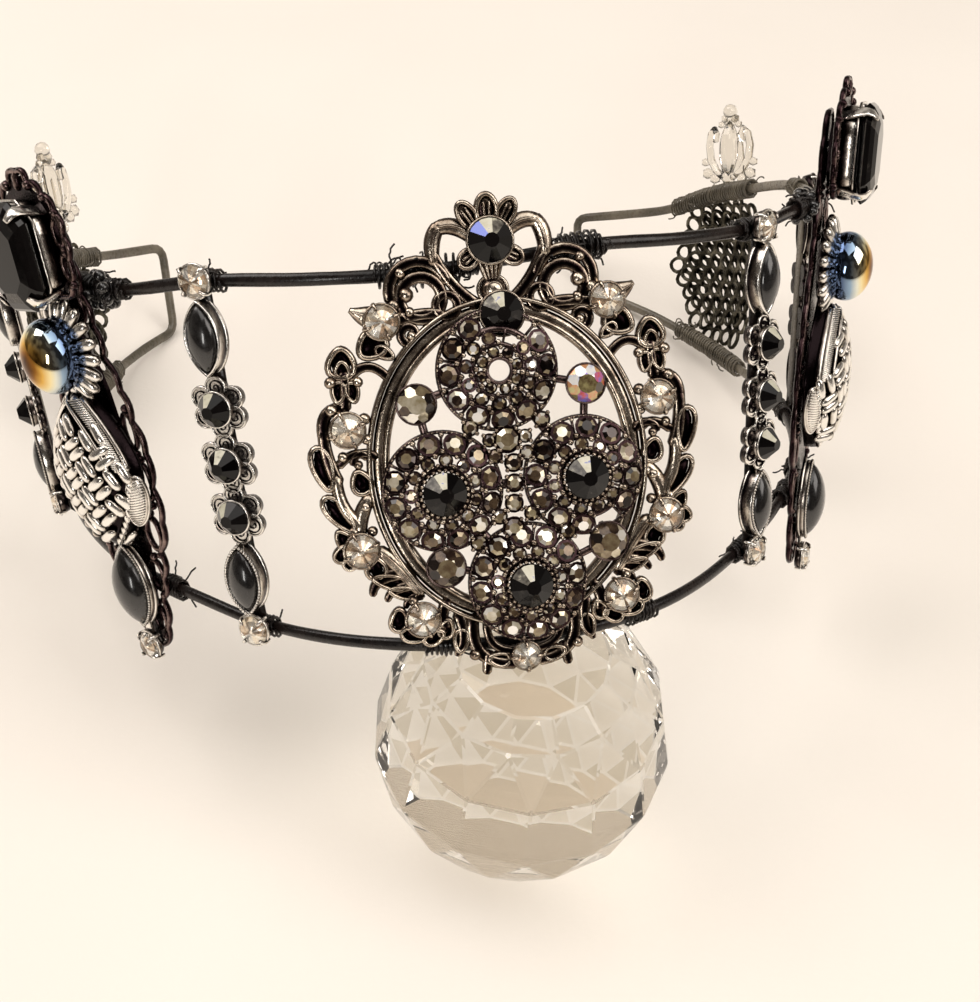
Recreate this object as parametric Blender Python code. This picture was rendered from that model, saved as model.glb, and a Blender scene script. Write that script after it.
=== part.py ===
# Gothic crown on a faceted glass ball: wire frame, pierced front medallion, four jewelled bars,
# two side ornaments and two rear nets. Lengths below are millimetres and angles are degrees.
# The crown has its own frame: x to the viewer's right, front at -y, z up from the lower wire.
import math

import bmesh
import bpy
from mathutils import Matrix, Vector

MM = 0.001
GAP = 0.3

# How the crown stands: it leans back on its two wire ends, and the ball lifts its front.
LEAN_BACK = 33.7
BALL_RADIUS = 26.4
BALL_LEVELS = (1.0, 0.70, 0.27, -0.27, -0.70, -1.0)
BALL_SIDES = 10
BALL_X = -1.9
BALL_Y = -71.7

# The wire of the frame is a little taller than it is thick.
WIRE_HEIGHT = 2.3
WIRE_THICKNESS = 1.7
WIRE_SIDES = 5
WIRE_STEP = 7.4
WIRE_BEND = 3.0

# Upper wire: azimuth from the front, distance from the axis, height.
UPPER_WIRE = (
    (-139.5, 80.3, 57.4),
    (-127, 80.4, 57.7),
    (-108, 80.7, 59.4),
    (-88, 80.8, 61.4),
    (-66, 80.8, 60.6),
    (-48, 80.5, 59.3),
    (-35, 80.2, 60.4),
    (-23, 79.6, 59.8),
    (-11, 78.2, 59.4),
    (0, 77.5, 60.2),
    (11, 78.4, 61.0),
    (23, 79.8, 60.2),
    (35, 80.3, 59.9),
    (48, 80.6, 61.2),
    (66, 80.8, 61.2),
    (86, 80.8, 62.4),
    (99, 80.7, 61.2),
    (110, 80.5, 59.4),
    (120, 80.4, 56.2),
    (129, 80.3, 55.2),
    (139.5, 80.2, 54.6),
)

# Lower wire: it bulges under the medallion and climbs towards the open back.
LOWER_WIRE = (
    (-138.5, 78.3, 37.4),
    (-130, 78.2, 34.6),
    (-118, 77.7, 30.2),
    (-104, 77.1, 23.6),
    (-90, 76.5, 17.4),
    (-77, 76.2, 13.4),
    (-62, 75.8, 8.4),
    (-47, 75.4, 4.6),
    (-35, 76.0, 0.8),
    (-18, 81.2, -0.6),
    (-3, 84.2, -1.0),
    (14, 82.0, -0.8),
    (34, 76.2, 1.4),
    (48, 75.4, 4.8),
    (64, 75.6, 9.4),
    (82, 76.2, 14.6),
    (99, 77.0, 19.4),
    (111, 77.5, 24.4),
    (124, 78.0, 30.6),
    (132, 78.2, 34.2),
    (138.5, 78.3, 37.4),
)

# Front medallion: its own plane, leaning back a little and turned towards the left.
MEDALLION_AT = (-3.3, -83.3, 30.0)
MEDALLION_TURN = -4.1
MEDALLION_LEAN = -6.1
RIM_CENTRE_Y = -1.3
RIM_HALF_WIDTH = 20.7
RIM_HALF_HEIGHT = 24.6
RIM_STEPS = 32
# Section across the rim: distance from its middle line, height.
RIM_SECTION = ((-1.8, -0.8), (-1.2, 1.1), (0.0, 0.2), (1.2, 1.2), (1.8, -0.8))

# Border scrolls, right half: centre x, y, start and end radius, start and end angle, start and end width.
SCROLLS = (
    (11.3, 25.9, 3.3, 3.3, 0, 360, 1.3, 1.3),
    (11.6, 27.0, 4.6, 4.5, 165, -12, 1.2, 1.3),
    (7.4, 24.4, 1.7, 1.7, 0, 360, 1.1, 1.1),
    (18.9, 18.4, 2.0, 1.4, 80, -190, 1.3, 0.9),
    (13.4, 19.9, 1.6, 0.9, -60, 190, 1.0, 0.8),
    (20.0, 12.7, 3.9, 3.7, 128, -68, 1.3, 1.2),
    (25.0, 16.5, 2.0, 1.3, 210, -80, 1.6, 1.1),
    (23.2, -1.9, 2.0, 0.9, 140, -110, 1.0, 0.8),
    (22.4, -16.4, 1.9, 1.3, 110, -150, 1.3, 0.9),
    (19.2, -25.7, 2.0, 1.3, 130, -150, 1.3, 0.9),
    (12.4, -27.0, 2.3, 1.2, 60, -230, 1.3, 0.9),
)

# Border stems, right half: start x, y, bend x, y, end x, y, start and end width.
STEMS = (
    (2.8, 24.2, 6.6, 27.0, 8.8, 32.4, 1.5, 1.3),
    (8.6, 23.2, 12.4, 23.8, 15.8, 22.6, 1.2, 1.4),
    (19.4, 23.8, 20.8, 24.2, 22.4, 25.0, 2.6, 0.6),
    (25.3, 15.4, 28.2, 12.6, 26.4, 9.0, 2.2, 1.8),
    (26.6, 11.6, 27.4, 13.2, 28.6, 13.8, 1.4, 0.6),
    (27.2, 8.8, 30.8, 5.0, 29.4, 0.2, 1.2, 1.6),
    (29.6, 1.4, 30.8, -3.6, 28.0, -8.2, 1.8, 0.7),
    (25.6, 4.6, 30.0, -2.6, 25.0, -9.8, 1.7, 1.5),
    (21.0, -9.0, 21.4, -12.6, 22.0, -15.2, 1.2, 1.2),
    (18.2, -16.6, 21.4, -18.0, 23.2, -20.6, 1.8, 0.6),
    (16.6, -18.6, 19.2, -19.4, 20.9, -22.0, 1.6, 0.6),
    (16.4, -26.2, 18.4, -27.6, 19.8, -29.0, 1.8, 0.7),
    (10.4, -24.8, 9.2, -28.8, 11.2, -31.2, 1.5, 0.6),
    (8.2, -25.6, 9.6, -33.4, 2.2, -33.9, 1.6, 1.4),
    (6.0, -26.6, 6.6, -31.4, 1.6, -31.9, 0.9, 0.9),
    (6.1, -31.9, 6.5, -33.2, 6.7, -34.7, 1.3, 1.1),
    (2.0, 34.8, 5.0, 37.9, 7.9, 36.7, 1.1, 1.1),
    (7.6, 36.9, 9.3, 34.8, 8.9, 31.6, 1.2, 1.3),
    (2.4, 33.4, 5.0, 36.0, 6.7, 34.6, 0.9, 0.9),
    (6.4, 34.8, 7.6, 33.6, 8.4, 31.8, 0.9, 0.9),
    (1.2, 35.6, 3.0, 37.6, 3.7, 40.0, 1.8, 1.5),
    (1.4, 31.6, 3.8, 32.4, 4.7, 30.6, 2.2, 1.5),
)
MIDDLE_STEMS = (
    (0.05, 35.6, 0.06, 38.6, 0.04, 41.6, 1.9, 1.6),
    (0.04, 31.6, 0.06, 29.8, 0.05, 27.6, 4.6, 3.0),
)
# The left half of the border is cast very slightly wider than the right.
LEFT_STRETCH = 1.004
SCROLL_BACK = -0.8
SCROLL_RIDGE = 1.1
SCROLL_STEP = 45.0
SHORT_STEM = 4.6

# Clear stones of the border: x, y of the right-hand ones, then the middle one.
BORDER_STONES = ((17.85, 22.9), (24.8, 6.8), (24.7, -12.4), (16.2, -24.6))
BOTTOM_STONE = (-0.2, -32.6)
BOTTOM_RADIUS = 2.2
CLEAR_RADIUS = 2.65
CLEAR_HEIGHT = 1.9
CUP_WALL = 0.3
CUP_TOP = 1.5

# Rosettes: x, y, whether a stone fills the middle.
ROSETTES = ((-0.8, 13.8, False), (-11.2, -4.3, True), (11.4, -4.2, True), (1.0, -20.3, True))
ROSETTE_RADIUS = 9.5
ROSETTE_RISE = 2.4
CLUSTER_BACK = 1.55
CLUSTER_PLATE = 1.0
OUTER_COUNT, OUTER_RING, OUTER_RADIUS = 12, 7.7, 1.6
INNER_COUNT, INNER_RING, INNER_RADIUS = 5, 4.95, 1.0
ROSETTE_HOLES, HOLE_RING, HOLE_RADIUS = 5, 5.2, 0.75
CENTRE_RADIUS = 3.4
CENTRE_HOLE = 1.7
CENTRE_RISE = 3.2
CENTRE_HEIGHT = 3.0
ACCENTS = ((-14.0, 9.8), (12.9, 10.3), (-11.9, -16.3), (14.5, -15.2))
ACCENT_RADIUS = 3.0
ACCENT_HEIGHT = 2.3
ACCENT_CUP = 0.4
LINK_WIDTH = 2.2
LINK_THICKNESS = 1.1
LINK_OVERLAP = 1.2
LINKS = ((0, 1), (0, 2), (1, 2), (1, 3), (2, 3))
ACCENT_LINKS = ((0, 0), (0, 1), (1, 0), (1, 2), (2, 1), (2, 3), (3, 2), (3, 3))
LINK_STONES = ((-0.4, 3.0, 2.0), (0.1, -4.0, 1.5), (-0.6, -11.2, 1.6))

HIGH_CUP_TOP = 2.4
NECK = (0.0, 26.9, 2.1)
TOP_STONE = (0.8, 22.4, 3.3)
FINIAL_STONE = (0.0, 33.7, 3.4)

# Bars: azimuth, sideways shift of the flowers, where each jewel sits along the bar (0 lower wire, 1 upper).
FRONT_BARS = (("left", -35.2, 0.2), ("right", 35.2, 1.2))
REAR_BARS = (("left", -83.0), ("right", 82.0))
BAR_WIDTH = 3.6
BAR_THICKNESS = 0.9
BAR_OVERRUN = 1.6
BAR_CLEARS = (1.01, 0.004)
BAR_NAVETTES = (0.857, 0.162)
BAR_FLOWERS = (0.662, 0.502, 0.351)
NAVETTE_HALF_LENGTH = 5.6
NAVETTE_HALF_WIDTH = 2.75
NAVETTE_WALL = 0.5
FLOWER_RADIUS = 4.6
FLOWER_LOBES = 6
FLOWER_STONE = 2.85
# How far each setting stands up from the front of the strip.
CLEAR_CUP_RISE = 1.3
BEZEL_RISE = 1.7
FLOWER_RISE = 0.9
FLOWER_CUP_RISE = 2.0
REAR_CLEARS = (1.0, 0.0)
REAR_NAVETTES = (0.82, 0.18)
REAR_FLOWERS = (0.595, 0.405)

# Side ornaments: side, azimuth, outward lean, stretch of the plate, heights of the octagon and of the
# lower jewel above mid height.
ORNAMENTS = (("left", -55.0, 2.2, 0.93, 37.5, -23.8), ("right", 56.2, 0.6, 1.0, 41.0, -26.2))
ORNAMENT_MID = 30.0
PLATE_THICKNESS = 1.2
# Backplate outline: height, half width.
PLATE_EDGE = (
    (-40.0, 1.2), (-35.0, 4.4), (-29.0, 5.2), (-24.0, 7.4), (-18.5, 8.6), (-12.0, 11.4), (-5.0, 11.2),
    (2.0, 12.0), (8.0, 10.4), (14.0, 9.4), (20.0, 7.0), (26.0, 6.4), (31.5, 5.4), (38.0, 5.2),
    (44.0, 4.4), (49.0, 1.6),
)
# Holes of the backplate: x, y, half width, half height.
PLATE_HOLES = (
    (2.2, -33.4, 1.1, 2.0), (5.0, -23.6, 1.3, 2.4), (7.4, -14.6, 1.4, 2.6), (9.0, -4.0, 1.2, 2.9),
    (8.4, 6.0, 1.2, 2.8), (2.9, 29.4, 1.1, 2.4), (2.7, 38.6, 1.1, 2.6),
)
OCTAGON_HALF = (6.5, 9.0)
OCTAGON_CORNER = 3.4
# The octagon has a lace back of its own, on a foot: height above the octagon's middle, half width.
OCTAGON_BACK = (
    (-8.2, 5.6), (-5.8, 8.1), (-2.0, 9.3), (2.5, 9.5), (6.5, 8.7), (9.6, 6.2), (11.6, 3.0), (13.6, 0.8),
)
OCTAGON_BACK_HOLES = ((7.9, -2.6, 0.75, 1.7), (7.9, 2.9, 0.75, 1.9))
OCTAGON_BACK_AT = 1.4
OCTAGON_BACK_THICKNESS = 1.0
BEAD_Y = 20.2
BEAD_HALF = (5.4, 6.5)
BEAD_DEPTH = 4.8
BEAD_ROOM = 0.4
BEAD_RING_HEIGHT = 3.4
BASKET_HEIGHT = 5.2
CLAW_AT = (4.9, 7.4)
BEZEL_HEIGHT = 1.5
LEAF_Y = -1.0
LEAF_HALF = (10.6, 14.2)
LEAF_RISE = 5.6
LEAF_BASE = 1.0
CABOCHON_HALF = (3.9, 7.4)
# Scales and heights of the steps up the octagon stone and the cabochon.
OCTAGON_STEPS = ((0.84, 0.0), (1.0, 1.1), (0.86, 2.4), (0.60, 3.2))
CABOCHON_STEPS = ((1.0, 0.0), (0.95, 1.3), (0.72, 2.5), (0.32, 3.2))
DROP_OFFSET = 4.6
DROP_CUP_RISE = 1.5

# Rear nets: side, azimuth, mid height, how far the finial stands off the net's middle.
NETS = (("left", -114.8, 46.6, -6.0), ("right", 108.8, 42.4, -2.0))
NET_HALF = (18.2, 19.4)
NET_DOME = 4.6
NET_THICKNESS = 1.2
NET_PITCH = 6.9
NET_HOLE = 2.7
# Finials: half widths of the foot and its height, then each drop's x, y, half width, half length and turn.
FINIAL_FOOT = (6.2, 4.6, 2.2)
FINIAL_DROPS = (
    (0.1, 8.6, 2.3, 5.6, 0), (-3.5, 6.2, 1.9, 5.0, 14), (3.4, 6.1, 1.9, 5.0, -15),
    (-5.6, 3.3, 1.7, 3.0, 30), (5.7, 3.2, 1.7, 3.0, -29), (0.05, 15.4, 1.9, 2.4, 0),
)


# Materials

def make_material(name, colour, metallic, roughness, clear=0.0):
    material = bpy.data.materials.new(name)
    material.use_nodes = True
    shader = material.node_tree.nodes["Principled BSDF"]
    shader.inputs["Base Color"].default_value = (*colour, 1.0)
    shader.inputs["Metallic"].default_value = metallic
    shader.inputs["Roughness"].default_value = roughness
    shader.inputs["Transmission Weight"].default_value = clear
    return material


def make_materials():
    return {
        "black_wire": make_material("black_wire", (0.012, 0.010, 0.010), 0.3, 0.35),
        "gunmetal": make_material("gunmetal", (0.10, 0.085, 0.075), 1.0, 0.32),
        "silver": make_material("silver", (0.50, 0.46, 0.40), 1.0, 0.30),
        "black_stone": make_material("black_stone", (0.008, 0.007, 0.009), 0.0, 0.06),
        "hematite": make_material("hematite", (0.16, 0.14, 0.12), 0.6, 0.15),
        "clear_stone": make_material("clear_stone", (0.93, 0.88, 0.80), 0.0, 0.04, 0.85),
        "peacock": make_material("peacock", (0.62, 0.44, 0.16), 0.8, 0.08),
        "glass": make_material("glass", (0.96, 0.94, 0.90), 0.0, 0.02, 1.0),
    }


# Outlines, as lists of (x, y)

def circle(radius, sides, turn=0.0):
    step = 2 * math.pi / sides
    return [(radius * math.cos(i * step + turn), radius * math.sin(i * step + turn)) for i in range(sides)]


def ellipse(half_width, half_height, sides):
    return [(half_width * x, half_height * y) for x, y in circle(1.0, sides)]


def navette(half_width, half_length, per_side):
    """Two equal arcs that meet in points at the top and the bottom."""
    arc_radius = (half_length ** 2 + half_width ** 2) / (2 * half_width)
    reach = math.asin(half_length / arc_radius)
    right = []
    for i in range(per_side):
        angle = -reach + 2 * reach * i / per_side
        right.append((arc_radius * math.cos(angle) - arc_radius + half_width, arc_radius * math.sin(angle)))
    return right + [(-x, -y) for x, y in right]


def octagon(half_width, half_height, corner):
    quarter = ((half_width, half_height - corner), (half_width - corner, half_height))
    return (list(quarter) + [(-x, y) for x, y in reversed(quarter)]
            + [(-x, -y) for x, y in quarter] + [(x, -y) for x, y in reversed(quarter)])


def flower(radius, lobes):
    """A round of lobes, with a point between every two lobes and one on each."""
    points = []
    for i in range(lobes * 2):
        angle = math.pi * i / lobes
        reach = (0.84, 1.0)[i % 2]
        points.append((radius * reach * math.cos(angle), radius * reach * math.sin(angle)))
    return points


# Solids, built in millimetres and kept as meshes in metres

def skin(rings, closed=False):
    """Join rings of equal count into one closed skin, with flat caps on open ends."""
    bm = bmesh.new()
    rows = [[bm.verts.new(Vector(point) * MM) for point in ring] for ring in rings]
    spans = list(zip(rows, rows[1:]))
    if closed:
        spans.append((rows[-1], rows[0]))
    for low, high in spans:
        for i, vertex in enumerate(low):
            j = (i + 1) % len(low)
            bm.faces.new((vertex, low[j], high[j], high[i]))
    if not closed:
        bm.faces.new(list(reversed(rows[0])))
        bm.faces.new(rows[-1])
    bmesh.ops.recalc_face_normals(bm, faces=bm.faces)
    return bm


def tiers(outline, levels, centre=(0.0, 0.0), turn=0.0):
    """Stack an outline at each (scale, height) level: cups, bezels and cut stones."""
    cos, sin = math.cos(math.radians(turn)), math.sin(math.radians(turn))
    rings = []
    for scale, height in levels:
        rings.append([(centre[0] + scale * (x * cos - y * sin),
                       centre[1] + scale * (x * sin + y * cos), height) for x, y in outline])
    return skin(rings)


def stroke(points, widths, back=SCROLL_BACK, ridge=SCROLL_RIDGE, closed=False):
    """A cast stem along flat points: flat at the back, ridged in front."""
    rings = []
    last = len(points) - 1
    for i, point in enumerate(points):
        before = points[i - 1] if closed or i else points[0]
        after = points[(i + 1) % len(points)] if closed or i < last else points[last]
        along = (Vector(after) - Vector(before)).normalized()
        side = Vector((along.y, -along.x)) * widths[i] / 2
        rings.append([
            (point[0] - side.x, point[1] - side.y, back),
            (point[0] + side.x, point[1] + side.y, back),
            (point[0], point[1], ridge),
        ])
    return skin(rings, closed)


def scroll(row, mirror, lift):
    """One spiral arc of the border; a full turn of one radius is a ring."""
    x, y, radius_a, radius_b, angle_a, angle_b, width_a, width_b = row
    closed = abs(angle_b - angle_a) == 360
    count = round(abs(angle_b - angle_a) / SCROLL_STEP)
    points, widths = [], []
    for i in range(count if closed else count + 1):
        part = i / count
        angle = math.radians(angle_a + (angle_b - angle_a) * part)
        radius = radius_a + (radius_b - radius_a) * part
        points.append((mirror * (x + radius * math.cos(angle)), y + radius * math.sin(angle)))
        widths.append(width_a + (width_b - width_a) * part)
    return stroke(points, widths, SCROLL_BACK + lift, SCROLL_RIDGE + lift, closed)


def stem(row, mirror, lift):
    """A stem bent once between its two ends."""
    start, bend, end = Vector(row[0:2]), Vector(row[2:4]), Vector(row[4:6])
    steps = 3 if (end - start).length > SHORT_STEM else 2
    points, widths = [], []
    for i in range(steps + 1):
        part = i / steps
        point = start * (1 - part) ** 2 + bend * 2 * part * (1 - part) + end * part ** 2
        points.append((mirror * point.x, point.y))
        widths.append(row[6] + (row[7] - row[6]) * part)
    return stroke(points, widths, SCROLL_BACK + lift, SCROLL_RIDGE + lift)


def pierced_plate(outline, holes, thickness, shape=None):
    """A plate cut through by its holes, then bent by shape(x, y)."""
    bm = bmesh.new()
    for loop in [outline] + holes:
        corners = [bm.verts.new((x * MM, y * MM, 0.0)) for x, y in loop]
        for i, corner in enumerate(corners):
            bm.edges.new((corner, corners[(i + 1) % len(corners)]))
    bmesh.ops.triangle_fill(bm, use_beauty=True, edges=bm.edges[:])
    front = bmesh.ops.extrude_face_region(bm, geom=bm.faces[:], use_keep_orig=True)
    for item in front["geom"]:
        if isinstance(item, bmesh.types.BMVert):
            item.co.z += thickness * MM
    if shape:
        for vertex in bm.verts:
            vertex.co.z += shape(vertex.co.x / MM, vertex.co.y / MM) * MM
    bmesh.ops.recalc_face_normals(bm, faces=bm.faces)
    return bm


# Placing

def along_wire(table, azimuth):
    """Distance from the axis and height of a wire at an azimuth, on a smooth curve through its rows."""
    spot = 0
    while spot < len(table) - 2 and table[spot + 1][0] < azimuth:
        spot += 1
    rows = [table[max(0, min(len(table) - 1, spot + k))] for k in (-1, 0, 1, 2)]
    start, end = rows[1][0], rows[2][0]
    part = (azimuth - start) / (end - start)
    values = []
    for column in (1, 2):
        before, low, high, after = (row[column] for row in rows)
        rise_low = (high - before) * (end - start) / max(end - rows[0][0], 1.0)
        rise_high = (after - low) * (end - start) / max(rows[3][0] - start, 1.0)
        values.append(low * (1 + 2 * part) * (1 - part) ** 2 + rise_low * part * (1 - part) ** 2
                      + high * part ** 2 * (3 - 2 * part) + rise_high * part ** 2 * (part - 1))
    return values


def on_wire(table, azimuth):
    radius, height = along_wire(table, azimuth)
    angle = math.radians(azimuth)
    return Vector((radius * math.sin(angle), -radius * math.cos(angle), height))


def placing(origin, turn, lean):
    """Matrix of a piece whose own x runs right, y up and z outward; turn and lean are its normal's."""
    turn, lean = math.radians(turn), math.radians(lean)
    out = Vector((math.sin(turn) * math.cos(lean), -math.cos(turn) * math.cos(lean), -math.sin(lean)))
    right = Vector((math.cos(turn), math.sin(turn), 0.0))
    up = out.cross(right)
    matrix = Matrix((right, up, out)).transposed().to_4x4()
    matrix.translation = Vector(origin) * MM
    return matrix


def bar_placing(azimuth):
    """A bar's frame between the two wires: origin at the lower wire, and the bar's length."""
    low, high = on_wire(LOWER_WIRE, azimuth), on_wire(UPPER_WIRE, azimuth)
    outward = Vector((math.sin(math.radians(azimuth)), -math.cos(math.radians(azimuth)), 0.0))
    rise = high - low
    lean = math.degrees(math.atan2(rise.dot(outward), rise.z))
    return placing(low, azimuth, lean), rise.length


# Objects

def add_piece(name, bm, material, parent, place=None):
    mesh = bpy.data.meshes.new(name)
    bm.to_mesh(mesh)
    bm.free()
    mesh.materials.append(material)
    piece = bpy.data.objects.new(name, mesh)
    bpy.context.scene.collection.objects.link(piece)
    piece.parent = parent
    if place:
        piece.matrix_local = place
    return piece


def add_fused(name, solids, material, parent, place=None):
    """Soldered metal: the overlapping solids are united into one body."""
    helpers = bpy.data.collections.new(name + "_solids")
    bpy.context.scene.collection.children.link(helpers)
    base = add_piece(name, solids[0], material, None)
    for solid in solids[1:]:
        helper = add_piece(name + "_solid", solid, material, None)
        bpy.context.scene.collection.objects.unlink(helper)
        helpers.objects.link(helper)
    union = base.modifiers.new("solder", "BOOLEAN")
    union.operation = "UNION"
    union.solver = "EXACT"
    union.operand_type = "COLLECTION"
    union.collection = helpers
    graph = bpy.context.evaluated_depsgraph_get()
    united = bpy.data.meshes.new_from_object(base.evaluated_get(graph))
    base.modifiers.clear()
    base.data = united
    united.name = name
    drop_scraps(united)
    for helper in list(helpers.objects):
        bpy.data.objects.remove(helper)
    bpy.data.collections.remove(helpers)
    base.parent = parent
    if place:
        base.matrix_local = place
    return base


def drop_scraps(mesh):
    """Clear away the specks that a union leaves beside the body."""
    bm = bmesh.new()
    bm.from_mesh(mesh)
    left = set(bm.verts)
    while left:
        speck = [left.pop()]
        for vertex in speck:
            for edge in vertex.link_edges:
                other = edge.other_vert(vertex)
                if other in left:
                    left.remove(other)
                    speck.append(other)
        if len(speck) < 12:
            bmesh.ops.delete(bm, geom=speck, context="VERTS")
    bm.to_mesh(mesh)
    bm.free()


def lowest(piece):
    bpy.context.view_layer.update()
    corners = (piece.matrix_world @ vertex.co for vertex in piece.data.vertices)
    return min(corners, key=lambda point: point.z)


# Stones

def cut_stone(radius, seat, height, sides=8, centre=(0.0, 0.0), turn=0.0):
    """Round stone with a table, a ring of crown facets and a short ring below the girdle."""
    return tiers(circle(radius, sides), ((0.86, seat), (1.0, seat + 0.25 * height), (0.52, seat + height)),
                 centre, turn)


def small_stone(radius, seat, height, centre=(0.0, 0.0), turn=0.0):
    return tiers(circle(radius, 8), ((1.0, seat), (0.5, seat + height)), centre, turn)


# Frame

def bent_corner(before, corner, after):
    """Three points that round a corner of the wire."""
    start = corner + (before - corner).normalized() * WIRE_BEND
    end = corner + (after - corner).normalized() * WIRE_BEND
    return [start * (1 - t) ** 2 + corner * 2 * t * (1 - t) + end * t ** 2 for t in (0.0, 0.5, 1.0)]


def wire_run(table, ends_inset):
    first, last = table[0][0] + ends_inset, table[-1][0] - ends_inset
    count = round((last - first) / WIRE_STEP)
    return [on_wire(table, first + (last - first) * i / count) for i in range(count + 1)]


def build_frame(materials, crown):
    inset = math.degrees(WIRE_BEND / 80.0) + 0.6
    upper = wire_run(UPPER_WIRE, inset)
    lower = list(reversed(wire_run(LOWER_WIRE, inset)))
    corner_ur, corner_ul = on_wire(UPPER_WIRE, UPPER_WIRE[-1][0]), on_wire(UPPER_WIRE, UPPER_WIRE[0][0])
    corner_lr, corner_ll = on_wire(LOWER_WIRE, LOWER_WIRE[-1][0]), on_wire(LOWER_WIRE, LOWER_WIRE[0][0])
    path = upper + bent_corner(upper[-1], corner_ur, corner_lr) + bent_corner(corner_ur, corner_lr, lower[0])
    path += lower + bent_corner(lower[-1], corner_ll, corner_ul) + bent_corner(corner_ll, corner_ul, upper[0])
    rings = []
    for i, point in enumerate(path):
        along = (path[(i + 1) % len(path)] - path[i - 1]).normalized()
        outward = Vector((point.x, point.y, 0.0)).normalized()
        outward = (outward - along * outward.dot(along)).normalized()
        across = along.cross(outward)
        ring = []
        for k in range(WIRE_SIDES):
            angle = 2 * math.pi * k / WIRE_SIDES
            ring.append(point + across * math.cos(angle) * WIRE_HEIGHT / 2
                        + outward * math.sin(angle) * WIRE_THICKNESS / 2)
        rings.append(ring)
    return add_piece("frame_wire", skin(rings, closed=True), materials["black_wire"], crown)


# Front medallion

def rim_solid():
    rings = []
    for i in range(RIM_STEPS):
        angle = 2 * math.pi * i / RIM_STEPS
        rings.append([((RIM_HALF_WIDTH + off) * math.cos(angle),
                       RIM_CENTRE_Y + (RIM_HALF_HEIGHT + off) * math.sin(angle), height)
                      for off, height in RIM_SECTION])
    return skin(rings, closed=True)


def cup(radius, centre, top, back=SCROLL_BACK, sides=8):
    return tiers(circle(radius, sides), ((0.86, back - 0.1), (1.0, top)), centre)


def build_filigree(materials, crown, place):
    solids = [rim_solid()]
    for mirror in (1, -LEFT_STRETCH):
        for i, row in enumerate(SCROLLS):
            solids.append(scroll(row, mirror, 0.043 * (i % 7) + 0.019 * mirror))
        for i, row in enumerate(STEMS):
            solids.append(stem(row, mirror, 0.020 + 0.043 * (i % 7) + 0.011 * mirror))
        for x, y in BORDER_STONES:
            solids.append(cup(CLEAR_RADIUS + CUP_WALL, (mirror * x, y), CUP_TOP))
    for i, row in enumerate(MIDDLE_STEMS):
        solids.append(stem(row, 1, 0.19 + 0.11 * i))
    solids.append(cup(BOTTOM_RADIUS + CUP_WALL, BOTTOM_STONE, CUP_TOP))
    solids.append(cup(FINIAL_STONE[2] + CUP_WALL, FINIAL_STONE[:2], HIGH_CUP_TOP, sides=12))
    solids.append(cup(TOP_STONE[2] + CUP_WALL, TOP_STONE[:2], HIGH_CUP_TOP, sides=12))
    solids.append(tiers(circle(NECK[2], 10), ((1.0, -0.7), (1.0, 1.3), (0.5, 2.0)), NECK[:2]))
    return add_fused("medallion_filigree", solids, materials["gunmetal"], crown, place)


def rosette_dome(distance):
    return ROSETTE_RISE * (1 - (distance / ROSETTE_RADIUS) ** 2)


def clear_of_top_stone(x, y, room):
    return math.dist((x, y), TOP_STONE[:2]) > TOP_STONE[2] + CUP_WALL + GAP + room


def rosette_outline(x, y):
    """Round edge, notched where the black stone at the top of the medallion stands in front."""
    points = []
    for dx, dy in circle(1.0, 20):
        reach = ROSETTE_RADIUS
        while not clear_of_top_stone(x + reach * dx, y + reach * dy, 0.5):
            reach -= 0.05
        points.append((x + reach * dx, y + reach * dy))
    return points


def rosette_plate(x, y, filled, turn):
    """Domed round plate, pierced between its two rings of stones."""
    holes = []
    for i in range(ROSETTE_HOLES):
        angle = 2 * math.pi * (i + 0.5) / ROSETTE_HOLES + turn
        centre = (x + HOLE_RING * math.cos(angle), y + HOLE_RING * math.sin(angle))
        if clear_of_top_stone(*centre, 1.6):
            corners = circle(HOLE_RADIUS, 3, angle + math.pi)
            holes.append([(centre[0] + px, centre[1] + py) for px, py in corners])
    if not filled:
        holes.append([(x + px, y + py) for px, py in circle(CENTRE_HOLE, 8)])
    return pierced_plate(rosette_outline(x, y), holes, CLUSTER_PLATE,
                         lambda px, py: CLUSTER_BACK + rosette_dome(math.hypot(px - x, py - y)))


def clear_of_accents(x, y, room):
    return all(math.dist((x, y), accent) > ACCENT_RADIUS + 0.3 + room for accent in ACCENTS)


def rosette_stones(x, y, turn):
    """The two rings of small stones, each square to the dome and sunk a little into it."""
    stones = []
    for count, ring, radius, height in ((OUTER_COUNT, OUTER_RING, OUTER_RADIUS, 1.75),
                                        (INNER_COUNT, INNER_RING, INNER_RADIUS, 1.55)):
        slope = math.atan(2 * ROSETTE_RISE * ring / ROSETTE_RADIUS ** 2)
        for i in range(count):
            angle = 2 * math.pi * i / count + turn
            spot = Vector((x + ring * math.cos(angle), y + ring * math.sin(angle),
                           CLUSTER_BACK + CLUSTER_PLATE + rosette_dome(ring)))
            if clear_of_top_stone(spot.x, spot.y, radius) and clear_of_accents(spot.x, spot.y, radius):
                stone = small_stone(radius, -0.5, height)
                stand = (Matrix.Translation(spot * MM) @ Matrix.Rotation(angle, 4, "Z")
                         @ Matrix.Rotation(slope, 4, "Y"))
                bmesh.ops.transform(stone, matrix=stand, verts=stone.verts)
                stones.append(stone)
    return stones


def link(start, end, lift):
    """Flat strap between two settings of the cluster."""
    back = CLUSTER_BACK + lift
    return stroke([start, end], [LINK_WIDTH, LINK_WIDTH], back, back + LINK_THICKNESS)


def toward(start, end, distance):
    part = distance / math.dist(start, end)
    return (start[0] + (end[0] - start[0]) * part, start[1] + (end[1] - start[1]) * part)


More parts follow.
